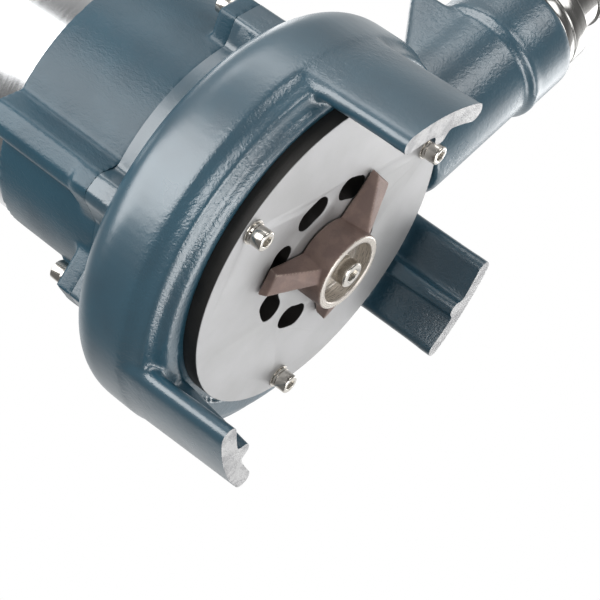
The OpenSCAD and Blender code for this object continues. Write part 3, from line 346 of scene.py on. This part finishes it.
def make_tool_marks():
    group, start, end = new_group("tool_marks", [("Rings per metre", 2500.0)], ["Height", "Shade"])
    group.interface.new_socket("Place", in_out="INPUT", socket_type="NodeSocketVector")
    split = group.nodes.new("ShaderNodeSeparateXYZ")
    group.links.new(start.outputs["Place"], split.inputs[0])
    across, along, height = split.outputs
    squares = [math_node(group, "MULTIPLY", part, part) for part in (across, along)]
    radius = math_node(group, "SQRT", math_node(group, "ADD", *squares))
    angle = math_node(group, "ARCTAN2", along, across)
    turn = math_node(group, "MULTIPLY", angle, ALONG_PER_RADIAN)
    joined = group.nodes.new("ShaderNodeCombineXYZ")
    for socket, value in zip(joined.inputs, (radius, turn, height)):
        feed(group, socket, value)
    rings = start.outputs["Rings per metre"]
    wide_rings = math_node(group, "MULTIPLY", rings, WIDE_RATIO)
    fine = noise(group, joined.outputs[0], rings, detail=2.0, rough=0.6)
    wide = noise(group, joined.outputs[0], wide_rings, detail=2.0, rough=0.5)
    group.links.new(fine, end.inputs["Height"])
    group.links.new(wide, end.inputs["Shade"])
    return group


tool_marks = make_tool_marks()
print("group:", tool_marks.name)

# %% [markdown]
# ### Sand-cast skin
# Raw cast iron shows the grains of its sand mould, with small pits between them, and it rusts in
# patches. Noise makes the grains, the cells of a Voronoi texture make round pits, and a slower
# noise with a firm ramp makes the patches.

# %% Sand-cast skin
PIT_RATIO, PIT_EDGE, PIT_DEPTH = 0.6, 0.35, 0.6
PATCHES_PER_METRE, RUST_START, RUST_FULL = 120.0, 0.42, 0.62


def make_cast_skin():
    group, start, end = new_group("cast_skin", [("Grains per metre", 900.0)], ["Height", "Rust"])
    place = group.nodes.new("ShaderNodeTexCoord").outputs["Object"]
    grains = start.outputs["Grains per metre"]
    grain = noise(group, place, grains, detail=4.0, rough=0.65)
    pits = group.nodes.new("ShaderNodeTexVoronoi")
    group.links.new(place, pits.inputs["Vector"])
    group.links.new(math_node(group, "MULTIPLY", grains, PIT_RATIO), pits.inputs["Scale"])
    deep = ramp_between(group, pits.outputs["Distance"], 0.0, PIT_EDGE, -PIT_DEPTH, 0.0)
    group.links.new(math_node(group, "ADD", grain, deep), end.inputs["Height"])
    patches = noise(group, place, PATCHES_PER_METRE, detail=4.0, rough=0.6)
    group.links.new(ramp_between(group, patches, RUST_START, RUST_FULL), end.inputs["Rust"])
    return group


cast_skin = make_cast_skin()
print("group:", cast_skin.name)

# %% [markdown]
# ## Finishes
# Each finish is one material. It places a group with its own values, so that the enamel on the oil
# chamber can be finer than that on the casing. A number that holds all over a surface is typed on
# the shader itself, and what changes over the surface is linked to it.

# %% Material helpers
NOISE_LOW, NOISE_HIGH = 0.3, 0.7


def start_material(name, metallic, specular=0.5):
    material = bpy.data.materials.new(name)
    material.use_nodes = True
    shader = material.node_tree.nodes["Principled BSDF"]
    shader.inputs["Metallic"].default_value = metallic
    shader.inputs["Specular IOR Level"].default_value = specular
    return material, material.node_tree, shader


def place_group(tree, group, **values):
    node = tree.nodes.new("ShaderNodeGroup")
    node.node_tree = group
    for label, value in values.items():
        node.inputs[label.replace("_", " ")].default_value = value
    return node


def mix_colours(tree, factor, low, high):
    """Two colours, each a triple or a socket, mixed by a socket."""
    node = tree.nodes.new("ShaderNodeMix")
    node.data_type = "RGBA"
    tree.links.new(factor, node.inputs["Factor"])
    for socket, colour in ((node.inputs["A"], low), (node.inputs["B"], high)):
        if isinstance(colour, tuple):
            socket.default_value = (*colour, 1)
        else:
            tree.links.new(colour, socket)
    return node.outputs["Result"]


def mask_of(tree, name):
    """A number that the piece's mesh stores at each of its points."""
    attribute = tree.nodes.new("ShaderNodeAttribute")
    attribute.attribute_name = name
    return attribute.outputs["Fac"]


def bump(tree, shader, height, depth, strength=1.0):
    """Feeds a height to the shader's normal. Depth is in metres. Strength is a number or a socket."""
    node = tree.nodes.new("ShaderNodeBump")
    node.inputs["Distance"].default_value = depth
    feed(tree, node.inputs["Strength"], strength)
    tree.links.new(height, node.inputs["Height"])
    tree.links.new(node.outputs["Normal"], shader.inputs["Normal"])


print("helpers: start_material, place_group, mix_colours, mask_of, bump")

# %% [markdown]
# ### Enamel
# All the castings wear one blue-grey enamel. It is glossy and wrinkled on the casing, duller and
# finer on the oil chamber, and between the two on the top cover. One function makes all three. The
# casting's own mask can calm the wrinkles where the real enamel has run out smooth.

# %% Enamel finishes
ENAMEL_LIGHT = (0.022, 0.077, 0.114)
ENAMEL_DARK = (0.014, 0.054, 0.083)
ROUGH_SPREAD = 0.12


def make_enamel(name, wrinkles, depth, rough, ior, stretch=1.0, mask=None):
    """Blue-grey enamel. The mask attribute, where given, says how strong the wrinkles are."""
    material, tree, shader = start_material(name, metallic=0.0, specular=1.0)
    shader.inputs["IOR"].default_value = ior
    skin = place_group(tree, enamel_skin, Wrinkles_per_metre=wrinkles, Stretch=stretch)
    shade = ramp_between(tree, skin.outputs["Shade"], NOISE_LOW, NOISE_HIGH)
    tree.links.new(mix_colours(tree, shade, ENAMEL_DARK, ENAMEL_LIGHT), shader.inputs["Base Color"])
    dull, glossy = rough * (1 + ROUGH_SPREAD), rough * (1 - ROUGH_SPREAD)
    gloss = ramp_between(tree, skin.outputs["Shade"], NOISE_LOW, NOISE_HIGH, dull, glossy)
    tree.links.new(gloss, shader.inputs["Roughness"])
    bump(tree, shader, skin.outputs["Height"], depth, mask_of(tree, mask) if mask else 1.0)
    return material


casing_enamel = make_enamel(
    "casing_enamel", wrinkles=420.0, depth=0.23 * MM, rough=0.31, ior=1.65, mask="wrinkled"
)
chamber_enamel = make_enamel(
    "chamber_enamel", wrinkles=700.0, depth=0.15 * MM, rough=0.36, ior=1.4, stretch=0.6, mask="wrinkled"
)
cover_enamel = make_enamel("cover_enamel", wrinkles=560.0, depth=0.15 * MM, rough=0.3, ior=1.5)
print("enamels:", casing_enamel.name, chamber_enamel.name, cover_enamel.name)

# %% [markdown]
# ### Turned metal
# The shell, the screws, the nut and the hose tail are bare and bright. Polished steel would mirror
# the room like glass, and it is the faint rings that make it look turned. They lie round the shaft,
# or round the outlet's own axis, which the nut's joint gives.

# %% Turned metal
def outlet_axis_place():
    """Where the outlet's axis lies: y and z of the joint that the union nut turns on."""
    joint = next(row for row in frame["joints"] if row["name"] == "union_nut_turn")
    return joint["pos_m"][Y], joint["pos_m"][Z]


OUTLET_Y, OUTLET_Z = outlet_axis_place()


def place_round_outlet(tree, place):
    """Turns a place so that the outlet's axis takes the shaft's part."""
    centred = tree.nodes.new("ShaderNodeMapping")
    centred.vector_type = "POINT"
    centred.inputs["Location"].default_value = (OUTLET_Z, -OUTLET_Y, 0)
    centred.inputs["Rotation"].default_value = (0, math.radians(-90), 0)
    tree.links.new(place, centred.inputs["Vector"])
    return centred.outputs["Vector"]


def make_turned(name, colour, rough, rings=2500.0, depth=0.006 * MM, streak=0.25, metallic=1.0,
                outlet=False):
    """Bright turned metal with fine rings round the shaft or round the outlet."""
    material, tree, shader = start_material(name, metallic)
    place = tree.nodes.new("ShaderNodeTexCoord").outputs["Object"]
    if outlet:
        place = place_round_outlet(tree, place)
    marks = place_group(tree, tool_marks, Rings_per_metre=rings)
    tree.links.new(place, marks.inputs["Place"])
    dark = tuple(channel * (1 - streak) for channel in colour)
    shade = ramp_between(tree, marks.outputs["Shade"], NOISE_LOW, NOISE_HIGH)
    tree.links.new(mix_colours(tree, shade, dark, colour), shader.inputs["Base Color"])
    gloss = ramp_between(tree, marks.outputs["Height"], NOISE_LOW, NOISE_HIGH, rough * 0.8, rough * 1.2)
    tree.links.new(gloss, shader.inputs["Roughness"])
    bump(tree, shader, marks.outputs["Height"], depth)
    return material


bright_turned = make_turned("bright_turned", colour=(0.60, 0.60, 0.58), rough=0.2)
bright_outlet = make_turned("bright_outlet", colour=(0.44, 0.435, 0.42), rough=0.17, outlet=True)
shell_metal = make_turned(
    "shell_metal", colour=(0.66, 0.67, 0.68), rough=0.2, rings=1200.0, depth=0.003 * MM, streak=0.08
)
screw_metal = make_turned(
    "screw_metal", colour=(0.66, 0.63, 0.58), rough=0.2, rings=3000.0, depth=0.004 * MM, streak=0.12
)
machined_iron = make_turned(
    "machined_iron", colour=(0.62, 0.575, 0.52), rough=0.3, rings=2600.0, streak=0.12, metallic=0.6
)
bearing_steel = make_turned("bearing_steel", colour=(0.7, 0.7, 0.71), rough=0.1, streak=0.04)
print("turned metals made")

# %% [markdown]
# ### Cast and ground iron
# The cutter is raw brown iron whose sharp edges are painted pale, partly as wear rubbed bright by what it
# cuts and partly as a painted edge highlight. The leg ends are ground flat and stay pale and coarse. The
# impeller is dark raw iron. All three are the sand-cast skin in other colours. The pale edges come from a mask on
# the cutter's mesh, so they follow its shape.

# %% Cast iron
def make_cast(name, colour, rust_colour, rough, grains, depth, metallic=0.0, rust=0.5, worn_highlit=None):
    """Raw cast or ground iron with grains, pits and stains. Worn_highlit is the colour of the pale edges, partly
    wear and partly painted edge highlight.
    """
    material, tree, shader = start_material(name, metallic)
    skin = place_group(tree, cast_skin, Grains_per_metre=grains)
    height = skin.outputs["Height"]
    stain = math_node(tree, "MULTIPLY", skin.outputs["Rust"], rust)
    skin_colour = mix_colours(tree, stain, colour, rust_colour)
    if worn_highlit:
        # Sharp edges, where their grains stand high, are painted pale: partly wear, partly a painted edge
        # highlight.
        high_grains = ramp_between(tree, height, 0.25, 0.6)
        rubbed_highlit = math_node(tree, "MULTIPLY", mask_of(tree, "edge"), high_grains)
        skin_colour = mix_colours(tree, rubbed_highlit, skin_colour, worn_highlit)
    tree.links.new(skin_colour, shader.inputs["Base Color"])
    gloss = ramp_between(tree, height, 0.2, 0.7, rough + 0.12, rough - 0.05)
    tree.links.new(gloss, shader.inputs["Roughness"])
    bump(tree, shader, height, depth)
    return material


ground_iron = make_cast(
    "ground_iron", colour=(0.52, 0.52, 0.52), rust_colour=(0.30, 0.30, 0.31),
    rough=0.5, grains=1100.0, depth=0.3 * MM, metallic=0.6, rust=0.7
)
cutter_iron = make_cast(
    "cutter_iron", colour=(0.20, 0.137, 0.118), rust_colour=(0.29, 0.205, 0.170),
    rough=0.5, grains=1500.0, depth=0.10 * MM, metallic=0.2, worn_highlit=(0.52, 0.43, 0.37)
)
pump_iron = make_cast(
    "pump_iron", colour=(0.16, 0.165, 0.17), rust_colour=(0.14, 0.12, 0.10),
    rough=0.5, grains=900.0, depth=0.15 * MM, metallic=0.6
)
print("irons:", ground_iron.name, cutter_iron.name, pump_iron.name)

# %% [markdown]
# ### The suction plate
# The plate is steel, ground on its face. Its rim and the walls of its slots are painted near black and
# not metallic, as painted shade where they stand in shadow. One material covers both: it reads the height above
# the face.

# %% Plate finish
SPECKS_PER_METRE, CLOUDS_PER_METRE = 2200.0, 30.0
PALE_STEEL, GREY_STEEL, SPECK_STEEL = (0.49, 0.49, 0.495), (0.44, 0.44, 0.44), (0.33, 0.33, 0.33)
# Painted shade: the near black colour of the plate's rim and the walls of its slots.
PAINTED_SHADE_WALL = (0.022, 0.020, 0.018)


def lowest(node_name):
    """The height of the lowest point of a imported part."""
    return min(vertex.co.z for vertex in nodes[node_name].data.vertices)


PLATE_FACE = lowest("suction_plate")
WALL_START, WALL_FULL = PLATE_FACE + 0.15 * MM, PLATE_FACE + 0.45 * MM


def make_plate_finish():
    material, tree, shader = start_material("ground_plate", metallic=1.0)
    place = tree.nodes.new("ShaderNodeTexCoord").outputs["Object"]
    split = tree.nodes.new("ShaderNodeSeparateXYZ")
    tree.links.new(place, split.inputs[0])
    # Above the face, the rim and slot walls take the painted shade colour and lose their metal.
    shaded_wall = ramp_between(tree, split.outputs[Z], WALL_START, WALL_FULL)
    grain = noise(tree, place, SPECKS_PER_METRE, detail=3.0, rough=0.7)
    cloud = noise(tree, place, CLOUDS_PER_METRE, detail=3.0, rough=0.55)
    clouded = ramp_between(tree, cloud, NOISE_LOW, NOISE_HIGH)
    face = mix_colours(tree, clouded, GREY_STEEL, PALE_STEEL)
    specks = ramp_between(tree, grain, 0.55, 0.75, 0.0, 0.25)
    speckled = mix_colours(tree, specks, face, SPECK_STEEL)
    tree.links.new(mix_colours(tree, shaded_wall, speckled, PAINTED_SHADE_WALL), shader.inputs["Base Color"])
    gloss = ramp_between(tree, grain, NOISE_LOW, NOISE_HIGH, 0.64, 0.54)
    tree.links.new(gloss, shader.inputs["Roughness"])
    tree.links.new(math_node(tree, "SUBTRACT", 1.0, shaded_wall), shader.inputs["Metallic"])
    bump(tree, shader, grain, 0.01 * MM)
    return material


ground_plate = make_plate_finish()
print("plate face at mm:", round(PLATE_FACE / MM, 2))

# %% [markdown]
# ### Small parts
# Seals, bearings, windings and the parts under the top cover are rubber, ceramic, plastic and plain
# metal. They hardly show, so one short function gives each a faint grain in its own colour. Then
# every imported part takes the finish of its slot, and four parts take one of their own.

# %% Other finishes
PLAIN_GRAINS = 1400.0
PLAIN_DEPTH = 0.02 * MM


def make_plain(name, colour, rough, metallic=0.0):
    """Rubber, plastic, ceramic and small metal parts with a faint grain."""
    stained = tuple(channel * 0.8 for channel in colour)
    return make_cast(name, colour, stained, rough, PLAIN_GRAINS, PLAIN_DEPTH, metallic, rust=0.4)


slot_finish = {
    "paint": cover_enamel,
    "raw_iron": pump_iron,
    "cutter_iron": cutter_iron,
    "ground_steel": bright_turned,
    "stainless": bright_turned,
    "screws": screw_metal,
    "bearing_steel": bearing_steel,
    "brass": make_plain("brass", (0.58, 0.42, 0.18), rough=0.3, metallic=1.0),
    "copper": make_plain("copper", (0.56, 0.26, 0.12), rough=0.35, metallic=1.0),
    "aluminium": make_plain("aluminium", (0.68, 0.68, 0.70), rough=0.4, metallic=1.0),
    "rubber": make_plain("rubber", (0.018, 0.018, 0.018), rough=0.6),
    "ceramic": make_plain("ceramic", (0.78, 0.75, 0.68), rough=0.15),
    "carbon": make_plain("carbon", (0.03, 0.03, 0.03), rough=0.4),
    "black_plastic": make_plain("black_plastic", (0.022, 0.022, 0.022), rough=0.45),
    "pale_plastic": make_plain("pale_plastic", (0.72, 0.72, 0.69), rough=0.35),
}
node_finish = {
    "suction_plate": ground_plate,
    "motor_shell": shell_metal,
    "outlet_hose_tail": bright_outlet,
    "outlet_union_nut": bright_outlet,
}
slots = {row["node"]: row["material_slot"] for row in record["subparts"]}
for name, node in nodes.items():
    node.data.materials.clear()
    node.data.materials.append(node_finish.get(name, slot_finish[slots[name]]))
print("finished parts:", len(nodes))

# %% [markdown]
# ## Soft castings
# An iron casting has no knife edges: sand and enamel round them all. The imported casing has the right
# shape but sharp edges. Bevels would fail where so many curved forms meet, so a copy of its mesh is
# wrapped in an even voxel skin, the skin is relaxed where the casting is raw, and it is then thinned.

# %% Working on a copy
MERGE_DISTANCE = 0.002 * MM


def pick(piece):
    bpy.ops.object.select_all(action="DESELECT")
    piece.select_set(True)
    bpy.context.view_layer.objects.active = piece


def edit_all(piece, operator, **settings):
    """Runs one edit mode operator on the whole piece."""
    pick(piece)
    bpy.ops.object.mode_set(mode="EDIT")
    bpy.ops.mesh.select_all(action="SELECT")
    operator(**settings)
    bpy.ops.object.mode_set(mode="OBJECT")


def merged_copy(node_name, name):
    """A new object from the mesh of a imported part, with its loose triangles joined up."""
    piece = bpy.data.objects.new(name, nodes[node_name].data.copy())
    bpy.context.scene.collection.objects.link(piece)
    edit_all(piece, bpy.ops.mesh.remove_doubles, threshold=MERGE_DISTANCE)
    return piece


def apply_modifier(piece, kind, **settings):
    modifier = piece.modifiers.new(kind.lower(), kind)
    for key, value in settings.items():
        setattr(modifier, key, value)
    pick(piece)
    bpy.ops.object.modifier_apply(modifier=modifier.name)


def shade_smooth(piece, degrees):
    pick(piece)
    bpy.ops.object.shade_smooth_by_angle(angle=math.radians(degrees))


print("helpers: pick, edit_all, merged_copy, apply_modifier, shade_smooth")

# %% [markdown]
# ### Relaxing and cutting
# A Smooth modifier rounds what its vertex group holds, so a number from 0 to 1 at each point says
# how soft the casting is there. Flat machined ends come out ragged from voxels. They are first made
# too long, and after the smoothing they are cut back to their true place with a plane.

# %% Casting helpers
WEIGHT_LEVELS = 10
FLAT_TOLERANCE = 0.02 * MM
CREASE_DEGREES = 50


def points_of(piece):
    co = np.empty(len(piece.data.vertices) * 3)
    piece.data.vertices.foreach_get("co", co)
    return co.reshape(-1, 3)


def relax(piece, weights, passes):
    """Smooths the piece where its weights, one per point, are high."""
    group = piece.vertex_groups.new(name="soft")
    levels = np.round(np.clip(weights, 0, 1) * WEIGHT_LEVELS).astype(int)
    for level in range(1, WEIGHT_LEVELS + 1):
        members = np.flatnonzero(levels == level).tolist()
        if members:
            group.add(members, level / WEIGHT_LEVELS, "REPLACE")
    apply_modifier(piece, "SMOOTH", factor=0.5, iterations=passes, vertex_group=group.name)
    piece.vertex_groups.clear()


def lengthen(piece, level, length):
    """Moves the points of a flat machined end up or down, so that it can be cut back crisply."""
    co = points_of(piece)
    ends = np.abs(co[:, Z] - level) < FLAT_TOLERANCE
    co[ends, Z] += length
    piece.data.vertices.foreach_set("co", co.ravel())
    piece.data.update()


def soft_casting(piece, voxel, most_triangles, rounds, cuts=()):
    """Voxel skin, relaxed in rounds of a softness function and its passes, cut flat, then thinned."""
    apply_modifier(piece, "REMESH", mode="VOXEL", voxel_size=voxel, adaptivity=0.0)
    for softness, passes in rounds:
        relax(piece, softness(points_of(piece)), passes)
    for place, normal in cuts:
        edit_all(piece, bpy.ops.mesh.bisect, plane_co=place, plane_no=normal, use_fill=True,
                 clear_outer=True)
    triangles = sum(len(face.vertices) - 2 for face in piece.data.polygons)
    if triangles > most_triangles:
        apply_modifier(piece, "DECIMATE", ratio=most_triangles / triangles)
    shade_smooth(piece, CREASE_DEGREES)
    print(piece.name, "triangles:", triangles, "->", len(piece.data.polygons))


def set_mask(piece, name, values):
    """Stores a number at each point, for a material to read."""
    layer = piece.data.attributes.new(name, "FLOAT", "POINT")
    layer.data.foreach_set("value", np.asarray(values, np.float32))


def dress(piece, finish, other=None, is_other=None):
    """Gives the piece its finish, and the other one to the faces that is_other picks."""
    piece.data.materials.clear()
    piece.data.materials.append(finish)
    if other:
        piece.data.materials.append(other)
        for face in piece.data.polygons:
            face.material_index = int(is_other(face.center, face.normal))


print("helpers: points_of, relax, lengthen, soft_casting, set_mask, dress")

# %% [markdown]
# ## Pump casing
# The casing is one casting: shoulder, rim, three legs, lugs and outlet neck. Its seat round the
# plate, its leg ends, its joint with the oil chamber and its outlet end are machined, so there the
# skin isn't relaxed. The hollows between the neck and its web are wide, and take more rounds.

# %% How soft the casing is
VOLUTE_CENTRE = Vector((-4.029, 2.421, 0)) * MM
LEG_END, RIM, JOINT = 0.0, 43.5 * MM, 109.5 * MM
SEAT_RADIUS, SEAT_LOW, SEAT_BELOW_JOINT = 87.4 * MM, 30 * MM, 3 * MM
OUTLET_END = (186 * MM, 187 * MM)
NECK_START, NECK_STOP = (100 * MM, 112 * MM), (148 * MM, 153 * MM)
WEB_HEIGHT = (74 * MM, 84 * MM)
RIM_INSIDE, RIM_OUTSIDE, RIM_TOP = (89 * MM, 91 * MM), (104 * MM, 107 * MM), 58 * MM
LEG_FOOT = (4 * MM, 12 * MM)
RIM_SOFTNESS = 0.35


def step(value, low, high):
    """A smooth rise from 0 at low to 1 at high."""
    t = np.clip((value - low) / (high - low), 0, 1)
    return t * t * (3 - 2 * t)


def volute_radius(co):
    return np.hypot(co[:, X] - VOLUTE_CENTRE.x, co[:, Y] - VOLUTE_CENTRE.y)


def casing_softness(co):
    """Soft all over but for the plate's seat and the end of the outlet."""
    in_seat = (np.hypot(co[:, X], co[:, Y]) < SEAT_RADIUS) & (co[:, Z] > SEAT_LOW)
    in_seat &= co[:, Z] < JOINT - SEAT_BELOW_JOINT
    return np.where(in_seat, 0.0, 1.0) * (1 - step(co[:, X], *OUTLET_END))


def neck_softness(co):
    """The web and the neck run into each other in wide hollows; the collar keeps its lip."""
    near = step(co[:, X], *NECK_START) * (1 - step(co[:, X], *NECK_STOP))
    web = near * step(co[:, Z], *WEB_HEIGHT)
    radius = volute_radius(co)
    rim = step(radius, *RIM_INSIDE) * (1 - step(radius, *RIM_OUTSIDE)) * (co[:, Z] < RIM_TOP)
    return np.maximum(web, RIM_SOFTNESS * rim * step(co[:, Z], *LEG_FOOT))


print("volute centre in mm:", in_mm(VOLUTE_CENTRE))

# %% [markdown]
# ### Where the enamel is smooth
# On the real casing the enamel has run out smooth on the round shoulder, on the outsides of the legs
# and on the collar, and it is wrinkled in the hollows. A second material would show a seam, so the
# mesh carries a mask that calms the wrinkles there step by step.

# %% How wrinkled the casing is
SHOULDER_RADIUS, SHOULDER_HEIGHT = (92 * MM, 99 * MM), (58 * MM, 66 * MM)
ROUND_NECK = (88 * MM, 104 * MM)
BELOW_RIM, LEG_OUTSIDE = (-2 * MM, 6 * MM), (97 * MM, 100 * MM)
COLLAR_HEIGHT = (100 * MM, 104 * MM)
SHOULDER_CALM, LEG_CALM, COLLAR_CALM = 0.92, 0.6, 0.8
LEAST_WRINKLED = 0.04


def casing_wrinkles(co):
    radius = volute_radius(co)
    clear_of_neck = 1 - step(co[:, X], *ROUND_NECK)
    shoulder = step(radius, *SHOULDER_RADIUS) * step(co[:, Z], *SHOULDER_HEIGHT) * clear_of_neck
    leg = step(RIM - co[:, Z], *BELOW_RIM) * step(radius, *LEG_OUTSIDE)
    collar = step(co[:, Z], *COLLAR_HEIGHT) * clear_of_neck
    calm = SHOULDER_CALM * shoulder + LEG_CALM * leg + COLLAR_CALM * collar
    return np.clip(1.0 - calm, LEAST_WRINKLED, 1)


print("wrinkles run from", LEAST_WRINKLED, "to 1")

# %% [markdown]
# ### The casing put together
# The copy is made too long at its leg ends and at its joint, skinned, relaxed and cut back. It then
# gets its mask, its enamel, and bare ground iron on the three leg ends, where the real casting is
# cut off level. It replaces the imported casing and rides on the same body.

# %% Casing
CASTING_VOXEL = 1.25 * MM
CASTING_PASSES = 9
NECK_PASSES = 5 * CASTING_PASSES
END_ALLOWANCE = 4 * MM
END_FACE_DEPTH = 0.35 * MM
FACES_DOWN = -0.8


def on_leg_end(centre, normal):
    return centre.z < LEG_END + END_FACE_DEPTH and normal.z < FACES_DOWN


casing = merged_copy("pump_casing", "casing_casting")
lengthen(casing, LEG_END, -END_ALLOWANCE)
lengthen(casing, JOINT, END_ALLOWANCE)
soft_casting(
    casing, CASTING_VOXEL, most_triangles=190000,
    rounds=[(casing_softness, CASTING_PASSES), (neck_softness, NECK_PASSES)],
    cuts=[((0, 0, LEG_END), (0, 0, -1)), ((0, 0, JOINT), (0, 0, 1))]
)
set_mask(casing, "wrinkled", casing_wrinkles(points_of(casing)))
dress(casing, casing_enamel, ground_iron, on_leg_end)
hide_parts("pump_casing")
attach(casing, "pump_body")
print("casing done")

# %% [markdown]
# ## Oil chamber
# The oil chamber stands on the casing and carries the motor. It is the same kind of casting, with a
# finer, streaky enamel. Its long boss and its lugs run out into the round wall in soft hollows. Its
# lower and upper joints are machined, so the softness fades out just before them.

# %% Oil chamber
CHAMBER_TOP = 173 * MM
ABOVE_JOINT = (0.2 * MM, 1.2 * MM)
BELOW_TOP = (0.3 * MM, 1.5 * MM)


def chamber_softness(co):
    return step(co[:, Z] - JOINT, *ABOVE_JOINT) * step(CHAMBER_TOP - co[:, Z], *BELOW_TOP)


chamber = merged_copy("oil_chamber", "oil_chamber_casting")
soft_casting(
    chamber, CASTING_VOXEL, most_triangles=150000, rounds=[(chamber_softness, CASTING_PASSES)]
)
set_mask(chamber, "wrinkled", np.ones(len(chamber.data.vertices)))
dress(chamber, chamber_enamel)
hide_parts("oil_chamber")
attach(chamber, "pump_body")
print("oil chamber done")

# %% [markdown]
# ## Cutter
# The cutter is a small raw casting whose hub is turned bright on its face and in its recess. Its
# skin is finer, about half a millimetre, because the blades are only a few millimetres thick. Each
# point's stand above its neighbours tells the sharp edges, which the material paints pale, as wear and as a
# painted edge highlight.

# %% Edge wear and painted edge highlight
def edge_wear_highlight(piece, sharpness):
    """How far each point stands out from its neighbours, from 0 on flats to 1 on sharp edges."""
    pairs = np.empty(len(piece.data.edges) * 2, np.int32)
    piece.data.edges.foreach_get("vertices", pairs)
    first, second = pairs.reshape(-1, 2).T
    co = points_of(piece)
    normals = np.empty(len(co) * 3)
    piece.data.vertices.foreach_get("normal", normals)
    normals = normals.reshape(-1, 3)
    total = np.zeros_like(co)
    number = np.zeros(len(co))
    for here, there in ((first, second), (second, first)):
        np.add.at(total, here, co[there] - co[here])
        np.add.at(number, here, 1)
    length = np.linalg.norm(co[first] - co[second], axis=1).mean()
    stand = -(total * normals).sum(axis=1) / np.maximum(number, 1) / length
    return np.clip((stand - sharpness) / sharpness, 0, 1)


print("helper: edge_wear_highlight")

# %% Cutter
HUB_FACE, HUB_RADIUS, RECESS_RADIUS = lowest("cutter"), 19.8 * MM, 16.0 * MM
CRISP_DEPTH, CRISP_HUB, CRISP_RECESS = 1.2 * MM, 0.5 * MM, 0.8 * MM
BRIGHT_DEPTH, BRIGHT_MARGIN = 0.4 * MM, 0.2 * MM
EDGE_SHARPNESS = 0.09
CUTTER_VOXEL = 0.55 * MM
CUTTER_PASSES = 4


def cutter_softness(co):
    """Soft on the blades, and crisp on the turned face of the hub and in its recess."""
    radius = np.hypot(co[:, X], co[:, Y])
    on_face = (co[:, Z] < HUB_FACE + CRISP_DEPTH) & (radius < HUB_RADIUS + CRISP_HUB)
    return np.where(on_face | (radius < RECESS_RADIUS + CRISP_RECESS), 0.0, 1.0)


def on_turned_hub(centre, normal):
    radius = math.hypot(centre.x, centre.y)
    on_face = centre.z < HUB_FACE + BRIGHT_DEPTH and radius < HUB_RADIUS + BRIGHT_MARGIN
    return on_face or radius < RECESS_RADIUS + BRIGHT_MARGIN


cutter = merged_copy("cutter", "cutter_casting")
soft_casting(
    cutter, CUTTER_VOXEL, most_triangles=90000, rounds=[(cutter_softness, CUTTER_PASSES)]
)
set_mask(cutter, "edge", edge_wear_highlight(cutter, EDGE_SHARPNESS))
dress(cutter, cutter_iron, machined_iron, on_turned_hub)
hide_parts("cutter")
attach(cutter, "rotor")
print("cutter done")

# %% [markdown]
# ## Eased edges
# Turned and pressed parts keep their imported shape, but no real edge is perfectly sharp. A voxel skin
# would blur their ribs and hexagons. A copy of each part is merged, its flat faces are joined,
# and a small bevel of the width given here then catches the light.

# %% Eased edges
EASED_MM = {
    "plate_screws": 0.3, "chamber_screws": 0.3, "cutter_bolt": 0.3, "stay_bolts": 0.3,
    "handle_screws": 0.3, "plate_flat_washers": 0.12, "plate_spring_washers": 0.12,
    "chamber_spring_washers": 0.12, "cutter_flat_washer": 0.12, "cutter_spring_washer": 0.12,
    "stay_bolt_washers": 0.12, "suction_plate": 0.25, "outlet_union_nut": 0.3,
    "outlet_hose_tail": 0.2, "handle": 0.5, "handle_grip": 0.5, "motor_shell": 0.2,
    "gland_body": 0.3, "gland_nut": 0.3, "oil_plug": 0.3,
}
BEVEL_SEGMENTS = 2
FLAT_DEGREES, BEVEL_DEGREES, SMOOTH_DEGREES = 0.5, 35, 28
body_of = {name: body for body, names in record["behaviour"]["bodies"].items() for name in names}


def eased_copy(node_name, width):
    piece = merged_copy(node_name, node_name + "_eased")
    edit_all(piece, bpy.ops.mesh.dissolve_limited, angle_limit=math.radians(FLAT_DEGREES))
    apply_modifier(piece, "BEVEL", width=width, segments=BEVEL_SEGMENTS, limit_method="ANGLE",
                   angle_limit=math.radians(BEVEL_DEGREES))
    shade_smooth(piece, SMOOTH_DEGREES)
    dress(piece, nodes[node_name].data.materials[0])
    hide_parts(node_name)
    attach(piece, body_of[node_name])


for node_name, width in EASED_MM.items():
    eased_copy(node_name, width * MM)
print("edges eased on", len(EASED_MM), "parts")
